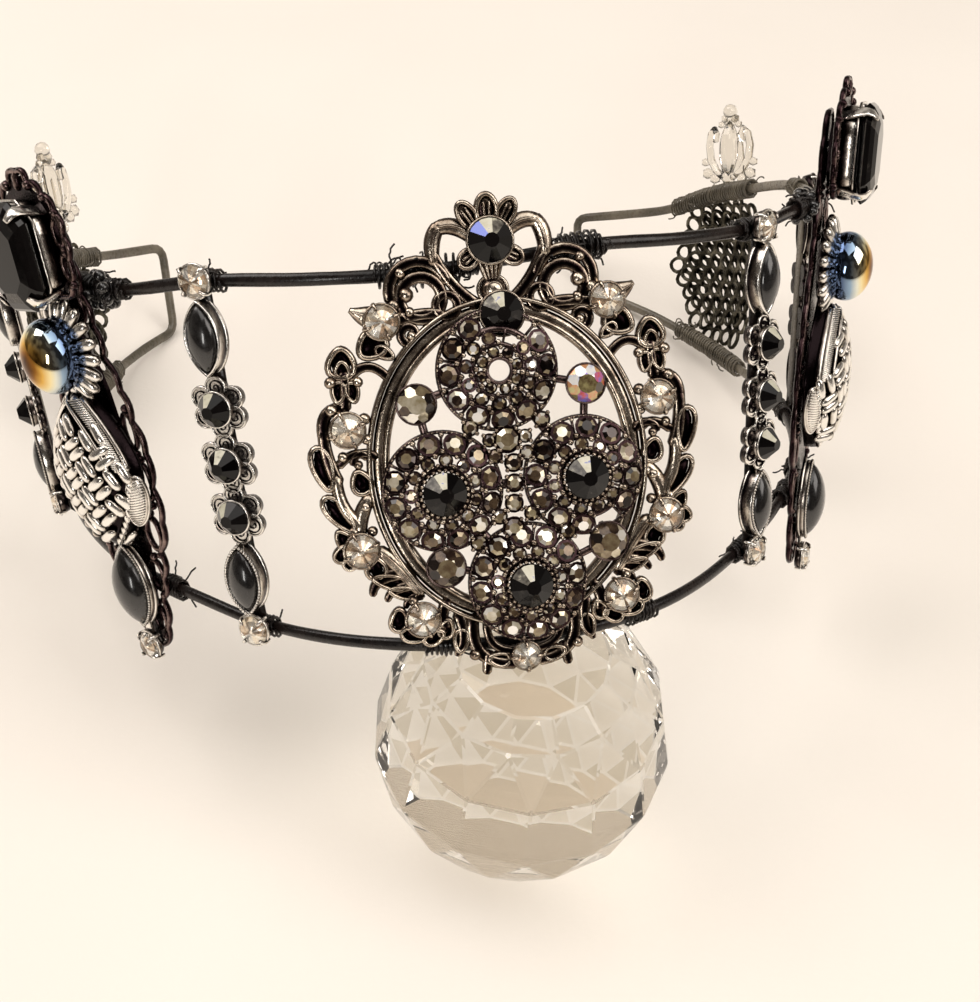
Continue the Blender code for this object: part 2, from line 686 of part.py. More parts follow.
def build_cluster(materials, crown, place):
    solids = []
    front = CLUSTER_BACK + CLUSTER_PLATE
    for index, (x, y, filled) in enumerate(ROSETTES):
        solids.append(rosette_plate(x, y, filled, 0.2 * index))
        solids.extend(rosette_stones(x, y, 0.2 * index))
        if filled:
            steps = ((1.0, front), (0.95, front + CENTRE_RISE))
            solids.append(tiers(circle(CENTRE_RADIUS + 0.4, 12), steps, (x, y)))
    reach = ROSETTE_RADIUS - LINK_OVERLAP
    for i, (first, second) in enumerate(LINKS):
        start, end = ROSETTES[first][:2], ROSETTES[second][:2]
        solids.append(link(toward(start, end, reach), toward(end, start, reach), 0.03 * i + 0.02))
    for i, (accent, rosette) in enumerate(ACCENT_LINKS):
        start, end = ACCENTS[accent], ROSETTES[rosette][:2]
        solids.append(link(start, toward(end, start, reach), 0.025 * i + 0.17))
    for centre in ACCENTS:
        steps = ((0.9, CLUSTER_BACK + 0.11), (1.0, front + ACCENT_CUP))
        solids.append(tiers(circle(ACCENT_RADIUS + 0.25, 8), steps, centre))
    for x, y, radius in LINK_STONES:
        steps = ((1.0, CLUSTER_BACK + 0.23), (1.0, front + 0.5), (0.5, front + 1.5))
        solids.append(tiers(circle(radius, 8), steps, (x, y)))
    return add_fused("rosette_cluster", solids, materials["hematite"], crown, place)


def build_medallion(materials, crown):
    place = placing(MEDALLION_AT, MEDALLION_TURN, MEDALLION_LEAN)
    filigree = build_filigree(materials, crown, place)
    build_cluster(materials, crown, place)
    front = CLUSTER_BACK + CLUSTER_PLATE
    spots = [(side * x, y, CLEAR_RADIUS) for x, y in BORDER_STONES for side in (-1, 1)]
    spots.append((*BOTTOM_STONE, BOTTOM_RADIUS))
    for i, (x, y, radius) in enumerate(spots):
        stone = small_stone(radius, CUP_TOP + GAP, CLEAR_HEIGHT, (x, y))
        add_piece(f"border_stone_{i + 1}", stone, materials["clear_stone"], crown, place)
    for i, centre in enumerate(ACCENTS):
        stone = cut_stone(ACCENT_RADIUS, front + ACCENT_CUP + GAP, ACCENT_HEIGHT, 8, centre)
        add_piece(f"accent_stone_{i + 1}", stone, materials["hematite"], crown, place)
    filled = [(x, y) for x, y, full in ROSETTES if full]
    for i, centre in enumerate(filled):
        stone = cut_stone(CENTRE_RADIUS, front + CENTRE_RISE + GAP, CENTRE_HEIGHT, 12, centre)
        add_piece(f"rosette_stone_{i + 1}", stone, materials["black_stone"], crown, place)
    for name, (x, y, radius) in (("top_stone", TOP_STONE), ("finial_stone", FINIAL_STONE)):
        stone = cut_stone(radius, HIGH_CUP_TOP + GAP, CENTRE_HEIGHT, 12, (x, y))
        add_piece(name, stone, materials["black_stone"], crown, place)
    return filigree


# Jewelled bars

def bar_metal(length, clears, navettes, flowers, shift):
    """Flat strip with its bezels and flower settings, one soldered body. Returns the solids."""
    back = WIRE_THICKNESS / 2 + GAP
    front = back + BAR_THICKNESS
    half = BAR_WIDTH / 2
    bottom, top = -BAR_OVERRUN, length + BAR_OVERRUN
    strip = [(-half, bottom), (half, bottom), (half, top), (-half, top)]
    solids = [tiers(strip, ((1.0, back), (1.0, front)))]
    for part in clears:
        solids.append(cup(CLEAR_RADIUS + CUP_WALL, (0.0, part * length), front + CLEAR_CUP_RISE, back + 0.3))
    for part in navettes:
        outline = navette(NAVETTE_HALF_WIDTH + NAVETTE_WALL, NAVETTE_HALF_LENGTH + NAVETTE_WALL, 5)
        solids.append(tiers(outline, ((0.92, back + 0.25), (1.0, front + BEZEL_RISE)), (0.0, part * length)))
    for i, part in enumerate(flowers):
        centre = (shift, part * length)
        steps = ((1.0, back + 0.35 + 0.04 * i), (0.97, front + FLOWER_RISE))
        solids.append(tiers(flower(FLOWER_RADIUS, FLOWER_LOBES), steps, centre, 15.0))
        solids.append(cup(FLOWER_STONE + 0.25, centre, front + FLOWER_CUP_RISE, front))
    return solids, front


def bar_stones(length, front, clears, navettes, flowers, shift):
    """Name, kind and solid of each stone on a bar, from the top down."""
    stones = []
    for i, part in enumerate(clears):
        stone = small_stone(CLEAR_RADIUS, front + CLEAR_CUP_RISE + GAP, CLEAR_HEIGHT, (0.0, part * length))
        stones.append((f"clear_{i + 1}", "clear_stone", stone))
    outline = navette(NAVETTE_HALF_WIDTH, NAVETTE_HALF_LENGTH, 5)
    for i, part in enumerate(navettes):
        steps = ((1.0, front + BEZEL_RISE + GAP), (0.93, front + 2.9), (0.5, front + 3.8))
        stones.append((f"navette_{i + 1}", "black_stone", tiers(outline, steps, (0.0, part * length))))
    for i, part in enumerate(flowers):
        stone = cut_stone(FLOWER_STONE, front + FLOWER_CUP_RISE + GAP, 2.8, 8, (shift, part * length))
        stones.append((f"round_{i + 1}", "black_stone", stone))
    return stones


def build_bars(materials, crown):
    for side, azimuth, shift in FRONT_BARS:
        place, length = bar_placing(azimuth)
        solids, front = bar_metal(length, BAR_CLEARS, BAR_NAVETTES, BAR_FLOWERS, shift)
        add_fused(f"front_bar_{side}", solids, materials["silver"], crown, place)
        for label, kind, solid in bar_stones(length, front, BAR_CLEARS, BAR_NAVETTES, BAR_FLOWERS, shift):
            add_piece(f"bar_{side}_{label}", solid, materials[kind], crown, place)
    for side, azimuth in REAR_BARS:
        place, length = bar_placing(azimuth)
        solids, front = bar_metal(length, REAR_CLEARS, REAR_NAVETTES, REAR_FLOWERS, 0.0)
        for part in REAR_CLEARS:
            solids.append(small_stone(CLEAR_RADIUS - 0.2, front + 1.1, CLEAR_HEIGHT, (0.0, part * length)))
        for part in REAR_NAVETTES:
            solids.append(tiers(navette(NAVETTE_HALF_WIDTH, NAVETTE_HALF_LENGTH, 5),
                                ((1.0, front + 1.5), (0.55, front + 3.6)), (0.0, part * length)))
        for part in REAR_FLOWERS:
            solids.append(small_stone(FLOWER_STONE, front + 1.8, 2.9, (0.0, part * length)))
        add_fused(f"rear_bar_{side}", solids, materials["silver"], crown, place)


# Side ornaments

def lace_plate(edge, holes, centre_y, stretch, thickness, height=0.0):
    """Pierced plate, the same on both sides of its middle line."""
    outline = [(half, centre_y + y * stretch) for y, half in edge]
    outline += [(-x, y) for x, y in reversed(outline)]
    pierced = []
    for x, y, half_width, half_height in holes:
        for mirror in (1, -1):
            corners = ellipse(half_width, half_height, 6)
            pierced.append([(mirror * x + px, centre_y + (y + py) * stretch) for px, py in corners])
    return pierced_plate(outline, pierced, thickness, lambda x, y: height)


def leaf_solid(front):
    """Domed leaf with a woven middle: rows of raised pads, ribbed edges left lower."""
    rows, columns = 9, 7
    top, base = [], []
    for r in range(rows):
        part = -1 + 2 * r / (rows - 1)
        width = LEAF_HALF[0] * (0.12 + 0.88 * (1 - abs(part) ** 1.7))
        y = LEAF_Y + LEAF_HALF[1] * part
        line_top, line_base = [], []
        for c in range(columns):
            across = -1 + 2 * c / (columns - 1)
            swell = math.sqrt(max(0.0, 1 - across ** 2)) * math.sqrt(max(0.0, 1 - 0.86 * part ** 2))
            weave = 0.45 if (r + c) % 2 else -0.45
            inner = 1.0 if 0 < c < columns - 1 and 0 < r < rows - 1 else 0.0
            line_top.append((width * across, y, front + LEAF_BASE + LEAF_RISE * swell + weave * inner))
            line_base.append((width * across, y, front))
        top.append(line_top)
        base.append(line_base)
    rings = [line + list(reversed(low)) for line, low in zip(top, base)]
    return skin(rings)


def ellipsoid(half_width, half_height, depth, centre, height, sides=12, rows=6):
    """An oval bead lying on its long side."""
    bm = bmesh.new()
    bmesh.ops.create_uvsphere(bm, u_segments=sides, v_segments=rows, radius=1.0)
    for vertex in bm.verts:
        x, y, z = vertex.co
        vertex.co = Vector((centre[0] + x * half_width, centre[1] + z * half_height, height - y * depth)) * MM
    return bm


def wall_ring(inner, outer, low, high, centre):
    """Upright ring between two outlines of equal count."""
    def row(outline, height):
        return [(centre[0] + x, centre[1] + y, height) for x, y in outline]
    loops = (row(inner, low), row(outer, low), row(outer, high), row(inner, high))
    return skin([list(section) for section in zip(*loops)], closed=True)


def build_ornament(side, azimuth, lean, stretch, octagon_y, low_y, materials, crown):
    low, high = on_wire(LOWER_WIRE, azimuth), on_wire(UPPER_WIRE, azimuth)
    outward = Vector((math.sin(math.radians(azimuth)), -math.cos(math.radians(azimuth)), 0.0))
    wall_lean = math.degrees(math.atan2((high - low).dot(outward), high.z - low.z))
    part = (ORNAMENT_MID - low.z) / (high.z - low.z)
    stand = WIRE_THICKNESS / 2 + GAP + math.tan(math.radians(lean)) * (ORNAMENT_MID - low.z)
    place = placing(low.lerp(high, part) + outward * stand, azimuth, wall_lean + lean)
    plate = lace_plate(PLATE_EDGE, PLATE_HOLES, 0.0, stretch, PLATE_THICKNESS)
    add_piece(f"{side}_backplate", plate, materials["gunmetal"], crown, place)

    seat = PLATE_THICKNESS + GAP
    outline = octagon(OCTAGON_HALF[0], OCTAGON_HALF[1], OCTAGON_CORNER)
    basket = [tiers(outline, ((0.62, seat), (0.62, seat + OCTAGON_BACK_AT + 0.5)), (0.0, octagon_y)),
              lace_plate(OCTAGON_BACK, OCTAGON_BACK_HOLES, octagon_y, 1.0, OCTAGON_BACK_THICKNESS,
                         seat + OCTAGON_BACK_AT),
              tiers(outline, ((0.84, seat + OCTAGON_BACK_AT + 0.2), (0.95, seat + BASKET_HEIGHT)),
                    (0.0, octagon_y))]
    for x in (-1, 1):
        for y in (-1, 1):
            spot = (x * CLAW_AT[0], octagon_y + y * CLAW_AT[1])
            steps = ((0.8, seat + OCTAGON_BACK_AT + 0.35), (1.0, seat + BASKET_HEIGHT - 0.2))
            basket.append(tiers(circle(1.0, 6), steps, spot))
    add_fused(f"{side}_octagon_setting", basket, materials["silver"], crown, place)
    stone_seat = seat + BASKET_HEIGHT + GAP
    steps = [(scale, stone_seat + height) for scale, height in OCTAGON_STEPS]
    stone = tiers(outline, steps, (0.0, octagon_y))
    add_piece(f"{side}_octagon_stone", stone, materials["black_stone"], crown, place)

    inner = ellipse(BEAD_HALF[0] + BEAD_ROOM, BEAD_HALF[1] + BEAD_ROOM, 20)
    scallop = [(x, y * 1.15) for x, y in flower(BEAD_HALF[0] + 1.8, 10)]
    leaf = [leaf_solid(seat), wall_ring(inner, scallop, seat + 0.1, seat + BEAD_RING_HEIGHT, (0.0, BEAD_Y))]
    add_fused(f"{side}_woven_leaf", leaf, materials["silver"], crown, place)
    bead = ellipsoid(BEAD_HALF[0], BEAD_HALF[1], BEAD_DEPTH, (0.0, BEAD_Y), seat + BEAD_DEPTH)
    add_piece(f"{side}_bead", bead, materials["peacock"], crown, place)

    outline = navette(CABOCHON_HALF[0], CABOCHON_HALF[1], 7)
    clear_y = low_y - CABOCHON_HALF[1] - DROP_OFFSET
    bezel = [tiers(outline, ((1.04, seat), (1.12, seat + BEZEL_HEIGHT)), (0.0, low_y)),
             cup(CLEAR_RADIUS + 0.2, (0.0, clear_y), seat + DROP_CUP_RISE, seat + 0.3),
             tiers([(-1.2, clear_y + 2.0), (1.2, clear_y + 2.0), (1.2, low_y - 6.0), (-1.2, low_y - 6.0)],
                   ((1.0, seat + 0.25), (1.0, seat + 1.1)))]
    add_fused(f"{side}_cabochon_setting", bezel, materials["silver"], crown, place)
    top = seat + BEZEL_HEIGHT + GAP
    stone = tiers(outline, [(scale, top + height) for scale, height in CABOCHON_STEPS], (0.0, low_y))
    add_piece(f"{side}_cabochon", stone, materials["black_stone"], crown, place)
    stone = small_stone(CLEAR_RADIUS, seat + DROP_CUP_RISE + GAP, CLEAR_HEIGHT, (0.0, clear_y))
    add_piece(f"{side}_clear_stone", stone, materials["clear_stone"], crown, place)


# Rear nets

def net_holes():
    holes = []
    for row in range(-4, 5):
        for column in range(-3, 4):
            x = (column + 0.5 * (row % 2)) * NET_PITCH
            y = row * NET_PITCH * math.sqrt(3) / 2
            if (x / (NET_HALF[0] - 2.6)) ** 2 + (y / (NET_HALF[1] - 2.6)) ** 2 < 1.0:
                holes.append([(x + px, y + py) for px, py in circle(NET_HOLE, 6, math.pi / 6)])
    return holes


def build_nets(materials, crown):
    for side, azimuth, height, finial_x in NETS:
        low, high = on_wire(LOWER_WIRE, azimuth), on_wire(UPPER_WIRE, azimuth)
        outward = Vector((math.sin(math.radians(azimuth)), -math.cos(math.radians(azimuth)), 0.0))
        lean = math.degrees(math.atan2((high - low).dot(outward), high.z - low.z))
        middle = low.lerp(high, (height - low.z) / (high.z - low.z))
        place = placing(middle + outward * (WIRE_THICKNESS / 2 + GAP), azimuth, lean)
        outline = [(x * (1 + 0.035 * (-1) ** i), y * (1 + 0.035 * (-1) ** i))
                   for i, (x, y) in enumerate(ellipse(NET_HALF[0], NET_HALF[1], 28))]
        net = pierced_plate(outline, net_holes(), NET_THICKNESS,
                            lambda x, y: NET_DOME * (1 - (x / NET_HALF[0]) ** 2 - (y / NET_HALF[1]) ** 2))
        add_piece(f"{side}_net", net, materials["gunmetal"], crown, place)

        base_y = NET_HALF[1] + 1.0
        wide, narrow, rise = FINIAL_FOOT
        base = [(-wide, base_y), (wide, base_y), (narrow, base_y + rise), (-narrow, base_y + rise)]
        solids = [tiers([(finial_x + x, y) for x, y in base], ((1.0, 0.2), (1.0, 1.8)))]
        steps = ((0.6, -0.9), (1.0, 1.0), (0.6, 2.9))
        for x, y, half_width, half_length, turn in FINIAL_DROPS:
            drop = navette(half_width, half_length, 3)
            solids.append(tiers(drop, steps, (finial_x + x, base_y + y), turn))
        add_fused(f"{side}_finial", solids, materials["clear_stone"], crown, place)


# Glass ball

def build_ball(height, materials, stand):
    """Faceted ball standing on one flat, with the medallion's foot on the flat above."""
    half = height / 2
    bm = bmesh.new()
    for row, level in enumerate(BALL_LEVELS):
        z = level * half
        ring_radius = math.sqrt(BALL_RADIUS ** 2 - z ** 2)
        for x, y in circle(ring_radius, BALL_SIDES, math.pi / BALL_SIDES * (row % 2)):
            bm.verts.new(Vector((x, y, z)) * MM)
    bmesh.ops.convex_hull(bm, input=bm.verts[:])
    bmesh.ops.recalc_face_normals(bm, faces=bm.faces)
    centre = Vector((BALL_X, BALL_Y, half)) * MM
    return add_piece("glass_ball", bm, materials["glass"], stand, Matrix.Translation(centre))


def main():
    for item in list(bpy.data.objects):
        bpy.data.objects.remove(item)
    stand = bpy.data.objects.new("stand", None)
    crown = bpy.data.objects.new("crown_frame", None)
    for empty in (stand, crown):
        bpy.context.scene.collection.objects.link(empty)
    crown.parent = stand
    crown.rotation_euler = (-math.radians(LEAN_BACK), 0.0, 0.0)
    materials = make_materials()

    frame = build_frame(materials, crown)
    filigree = build_medallion(materials, crown)
    build_bars(materials, crown)
    for row in ORNAMENTS:
        build_ornament(*row, materials, crown)
    build_nets(materials, crown)

    crown.location.z = -lowest(frame).z
    build_ball(lowest(filigree).z / MM - GAP, materials, stand)
    centre_on_origin(stand)


def centre_on_origin(stand):
    """The middle of the whole box stands over the origin."""
    bpy.context.view_layer.update()
    points = [item.matrix_world @ vertex.co for item in bpy.data.objects if item.type == "MESH"
              for vertex in item.data.vertices]
    for axis in (0, 1):
        values = [point[axis] for point in points]
        stand.location[axis] = -(min(values) + max(values)) / 2
    bpy.context.view_layer.update()


main()
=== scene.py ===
import math
import random

import bmesh
import bpy
from mathutils import Matrix, Vector, noise


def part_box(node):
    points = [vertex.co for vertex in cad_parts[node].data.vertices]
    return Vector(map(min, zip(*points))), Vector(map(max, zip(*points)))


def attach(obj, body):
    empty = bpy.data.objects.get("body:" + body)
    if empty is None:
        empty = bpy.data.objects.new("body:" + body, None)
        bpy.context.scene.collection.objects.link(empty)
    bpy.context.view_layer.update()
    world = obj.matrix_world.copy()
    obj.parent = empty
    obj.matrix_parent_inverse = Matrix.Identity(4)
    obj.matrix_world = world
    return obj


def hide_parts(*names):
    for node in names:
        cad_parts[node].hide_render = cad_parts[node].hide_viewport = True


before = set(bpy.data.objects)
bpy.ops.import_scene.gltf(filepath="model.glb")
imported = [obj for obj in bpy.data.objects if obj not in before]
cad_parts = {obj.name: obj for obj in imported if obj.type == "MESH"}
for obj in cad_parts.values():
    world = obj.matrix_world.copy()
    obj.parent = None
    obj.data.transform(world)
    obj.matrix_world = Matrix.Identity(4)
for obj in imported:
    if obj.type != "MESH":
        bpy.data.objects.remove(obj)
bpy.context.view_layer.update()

# Sizes here are millimetres and angles degrees. The crown has its own frame: x to the viewer's right,
# front at -y, z up from the lower wire. crownPlace leans that frame back on the two wire ends.
mm = 0.001
crownLean = {"angle": -33.7, "shift": (0.0000917, 0.0072919, 0.0022506)}
crownPlace = (Matrix.Translation(crownLean["shift"])
              @ Matrix.Rotation(math.radians(crownLean["angle"]), 4, "X"))

# Azimuth from the front, distance from the axis, height.
upperWire = (
    (-139.5, 80.3, 57.4), (-127, 80.4, 57.7), (-108, 80.7, 59.4), (-88, 80.8, 61.4),
    (-66, 80.8, 60.6), (-48, 80.5, 59.3), (-35, 80.2, 60.4), (-23, 79.6, 59.8), (-11, 78.2, 59.4),
    (0, 77.5, 60.2), (11, 78.4, 61.0), (23, 79.8, 60.2), (35, 80.3, 59.9), (48, 80.6, 61.2),
    (66, 80.8, 61.2), (86, 80.8, 62.4), (99, 80.7, 61.2), (110, 80.5, 59.4), (120, 80.4, 56.2),
    (129, 80.3, 55.2), (139.5, 80.2, 54.6))
lowerWire = (
    (-138.5, 78.3, 37.4), (-130, 78.2, 34.6), (-118, 77.7, 30.2), (-104, 77.1, 23.6),
    (-90, 76.5, 17.4), (-77, 76.2, 13.4), (-62, 75.8, 8.4), (-47, 75.4, 4.6), (-35, 76.0, 0.8),
    (-18, 81.2, -0.6), (-3, 84.2, -1.0), (14, 82.0, -0.8), (34, 76.2, 1.4), (48, 75.4, 4.8),
    (64, 75.6, 9.4), (82, 76.2, 14.6), (99, 77.0, 19.4), (111, 77.5, 24.4), (124, 78.0, 30.6),
    (132, 78.2, 34.2), (138.5, 78.3, 37.4))


# Camera, lights and floor

photoCamera = {"at": (-52.83, -302.45, 82.90), "tilt": 15.01, "pan": 11.86, "roll": 4.70,
               "focal": 1450.0, "frameHeight": 1002.0}


def setUpCamera():
    tilt, pan, roll = (math.radians(photoCamera[key]) for key in ("tilt", "pan", "roll"))
    ahead = Vector((math.sin(pan) * math.cos(tilt), math.cos(pan) * math.cos(tilt), -math.sin(tilt)))
    level = Vector((math.cos(pan), -math.sin(pan), 0.0))
    down = ahead.cross(level)
    right = level * math.cos(roll) + down * math.sin(roll)
    down = down * math.cos(roll) - level * math.sin(roll)
    place = Matrix((right, -down, -ahead)).transposed().to_4x4()
    place.translation = Vector(photoCamera["at"]) * mm
    data = bpy.data.cameras.new("photoCamera")
    data.sensor_width = 36.0
    data.lens = photoCamera["focal"] / photoCamera["frameHeight"] * data.sensor_width
    data.clip_start = 0.01
    camera = bpy.data.objects.new("photoCamera", data)
    bpy.context.scene.collection.objects.link(camera)
    camera.matrix_world = crownPlace @ place
    bpy.context.scene.camera = camera


def aimedLight(name, at, target, size, power, colour):
    data = bpy.data.lights.new(name, "AREA")
    data.shape = "RECTANGLE"
    data.size, data.size_y = size
    data.energy = power
    data.color = colour
    light = bpy.data.objects.new(name, data)
    bpy.context.scene.collection.objects.link(light)
    light.location = at
    light.rotation_euler = (Vector(target) - Vector(at)).to_track_quat("-Z", "Y").to_euler()


studio = {
    "key": ((-0.42, 0.34, 0.72), (0.56, 0.46), 3.3, (1.0, 0.935, 0.89)),
    "fill": ((0.50, -0.30, 0.62), (0.50, 0.50), 2.4, (1.0, 0.94, 0.885)),
    "front": ((-0.34, -0.60, 0.34), (0.10, 0.26), 0.8, (1.0, 0.97, 0.93)),
    "top": ((0.05, 0.02, 0.95), (0.70, 0.70), 2.6, (1.0, 0.96, 0.91)),
}
room = {"slope": (0.06, 0.32, -0.30), "level": 0.46, "patches": 2.6, "stray": (-0.22, 0.22, 0.38, 0.62),
        "stops": ((0.05, (0.035, 0.028, 0.024)), (0.50, (0.20, 0.175, 0.15)), (0.95, (0.82, 0.76, 0.68))),
        "backdrop": (0.90, 0.82, 0.73, 1.0), "even": 0.45, "strength": 0.9}


# The backdrop is what the camera sees. Reflections see a room that is lighter behind the crown and below.
def setUpStudio():
    for name, (at, size, power, colour) in studio.items():
        aimedLight(name, at, (0.0, 0.0, 0.03), size, power, colour)
    world = bpy.data.worlds.new("studioRoom")
    world.use_nodes = True
    tree = world.node_tree
    place = addNode(tree, "ShaderNodeTexCoord").outputs["Generated"]
    turned = addNode(tree, "ShaderNodeVectorMath", {0: place, 1: room["slope"]}, operation="DOT_PRODUCT")
    patches = addNode(tree, "ShaderNodeTexNoise", {"Vector": place, "Scale": room["patches"], "Detail": 1.0})
    height = addMath(tree, "ADD", turned.outputs["Value"], room["level"])
    stray = addRange(tree, patches.outputs["Fac"], *room["stray"])
    colour = addRamp(tree, addMath(tree, "ADD", height, stray), room["stops"])
    rays = addNode(tree, "ShaderNodeLightPath").outputs
    even = addMath(tree, "MULTIPLY", rays["Is Diffuse Ray"], room["even"])
    share = addMath(tree, "MAXIMUM", rays["Is Camera Ray"], even)
    background = tree.nodes["Background"].inputs
    feed(tree, background["Color"], addMix(tree, share, colour, room["backdrop"]))
    background["Strength"].default_value = room["strength"]
    bpy.context.scene.world = world
    bpy.context.scene.view_settings.view_transform = "Standard"


# Material helpers

def feed(tree, socket, value):
    if isinstance(value, bpy.types.NodeSocket):
        tree.links.new(value, socket)
    else:
        socket.default_value = value


def addNode(tree, kind, inputs=None, **settings):
    node = tree.nodes.new(kind)
    for key, value in settings.items():
        setattr(node, key, value)
    for key, value in (inputs or {}).items():
        feed(tree, node.inputs[key], value)
    return node


def addMath(tree, operation, first, second):
    return addNode(tree, "ShaderNodeMath", {0: first, 1: second}, operation=operation).outputs[0]


def addMix(tree, share, first, second):
    return addNode(tree, "ShaderNodeMix", {0: share, 6: first, 7: second}, data_type="RGBA").outputs[2]


def startMaterial(name, **sockets):
    material = bpy.data.materials.new(name)
    material.use_nodes = True
    tree = material.node_tree
    shader = tree.nodes["Principled BSDF"]
    for key, value in sockets.items():
        shader.inputs[key.replace("_", " ")].default_value = value
    return material, tree, shader


def addRamp(tree, source, stops):
    ramp = addNode(tree, "ShaderNodeValToRGB", {"Fac": source})
    elements = ramp.color_ramp.elements
    while len(elements) < len(stops):
        elements.new(0.5)
    for element, (position, colour) in zip(elements, stops):
        element.position = position
        element.color = (*colour, 1.0)
    return ramp.outputs["Color"]


noiseSpan = (0.3, 0.7)


def addRange(tree, source, low, high, start=noiseSpan[0], end=noiseSpan[1]):
    return addNode(tree, "ShaderNodeMapRange", {"Value": source, "From Min": start, "From Max": end,
                                                "To Min": low, "To Max": high}).outputs["Result"]


def addGrain(tree, scale, detail=3.0):
    place = addNode(tree, "ShaderNodeTexCoord").outputs["Object"]
    return addNode(tree, "ShaderNodeTexNoise", {"Vector": place, "Scale": scale, "Detail": detail,
                                                "Roughness": 0.6}).outputs["Fac"]


def addBump(tree, shader, source, strength, distance=0.0002):
    bump = addNode(tree, "ShaderNodeBump", {"Strength": strength, "Distance": distance, "Height": source})
    feed(tree, shader.inputs["Normal"], bump.outputs["Normal"])


def addTone(tree, layer, cloud, sway):
    tone = addNode(tree, "ShaderNodeAttribute", attribute_name=layer).outputs["Fac"]
    return addMath(tree, "ADD", tone, addRange(tree, cloud, -sway, sway))


def paint(tree, shader, colour, cloud, roughness, span=noiseSpan):
    feed(tree, shader.inputs["Base Color"], colour)
    feed(tree, shader.inputs["Roughness"], addRange(tree, cloud, *roughness, *span))


def antiqueMetal(name, look):
    material, tree, shader = startMaterial(name, Metallic=1.0)
    tone = addTone(tree, "rise", addGrain(tree, look["patches"], 4.0), look["wear"])
    height = addRange(tree, tone, 0.0, 1.0, look["low"], look["high"])
    fine = addGrain(tree, look["grain"])
    paint(tree, shader, addRamp(tree, height, look["stops"]), fine, look["roughness"])
    addBump(tree, shader, fine, look["bump"])
    return material


metalLooks = {
    "gunmetal": {"stops": ((0.0, (0.006, 0.003, 0.004)), (0.45, (0.045, 0.028, 0.026)),
                           (0.75, (0.27, 0.21, 0.16)), (1.0, (0.78, 0.68, 0.56))),
                 "low": -0.45, "high": 1.05, "wear": 0.30, "patches": 420.0, "grain": 2600.0,
                 "roughness": (0.14, 0.28), "bump": 0.2},
    "cherryBlack": {"stops": ((0.0, (0.012, 0.007, 0.008)), (0.6, (0.035, 0.019, 0.021)),
                              (1.0, (0.30, 0.22, 0.20))),
                    "low": -0.5, "high": 1.2, "wear": 0.35, "patches": 420.0, "grain": 2600.0,
                    "roughness": (0.16, 0.30), "bump": 0.2},
    "silver": {"stops": ((0.0, (0.012, 0.008, 0.009)), (0.35, (0.14, 0.115, 0.10)),
                         (0.65, (0.62, 0.57, 0.51)), (1.0, (0.98, 0.95, 0.90))),
               "low": -0.4, "high": 0.85, "wear": 0.18, "patches": 380.0, "grain": 2400.0,
               "roughness": (0.15, 0.28), "bump": 0.15},
    "netMetal": {"stops": ((0.0, (0.010, 0.009, 0.006)), (0.5, (0.060, 0.054, 0.040)),
                           (1.0, (0.24, 0.22, 0.17))),
                 "low": -0.9, "high": 0.9, "wear": 0.8, "patches": 300.0, "grain": 2000.0,
                 "roughness": (0.30, 0.48), "bump": 0.3},
}

# The wire's coating is black; towards the back it is painted brown-grey, a painted light for its lit side
# there. The third key is the span of that change in metres along y.
wireLook = {"front": ((0.35, (0.003, 0.002, 0.002)), (0.72, (0.016, 0.010, 0.008))),
            "back": ((0.35, (0.08, 0.070, 0.053)), (0.70, (0.19, 0.165, 0.125))),
            "paintedBackLight": (0.004, 0.028), "patches": 160.0, "grain": 1500.0, "roughness": (0.20, 0.40)}


def wireMaterial():
    material, tree, shader = startMaterial("blackWire", Metallic=0.0, Coat_Weight=0.2,
                                           Coat_Roughness=0.12, IOR=1.4)
    patches = addGrain(tree, wireLook["patches"], 5.0)
    front, back = (addRamp(tree, patches, wireLook[key]) for key in ("front", "back"))
    place = addNode(tree, "ShaderNodeTexCoord").outputs["Object"]
    depth = addNode(tree, "ShaderNodeSeparateXYZ", {0: place}).outputs["Y"]
    # Painted light: the wire turns brown-grey towards the back, where its lit side shows.
    paintedBackLight = addRange(tree, depth, 0.0, 1.0, *wireLook["paintedBackLight"])
    fine = addGrain(tree, wireLook["grain"])
    paint(tree, shader, addMix(tree, paintedBackLight, front, back), fine, wireLook["roughness"])
    addBump(tree, shader, fine, 0.3)
    return material


def facetMaterial(name, look):
    material, tree, shader = startMaterial(name, Metallic=look["metallic"], Coat_Weight=look["coat"],
                                           Coat_Roughness=0.03, IOR=look["bend"])
    cloud = addGrain(tree, 700.0)
    colour = addRamp(tree, addTone(tree, "tint", cloud, 0.08), look["stops"])
    paint(tree, shader, colour, cloud, look["roughness"])
    return material


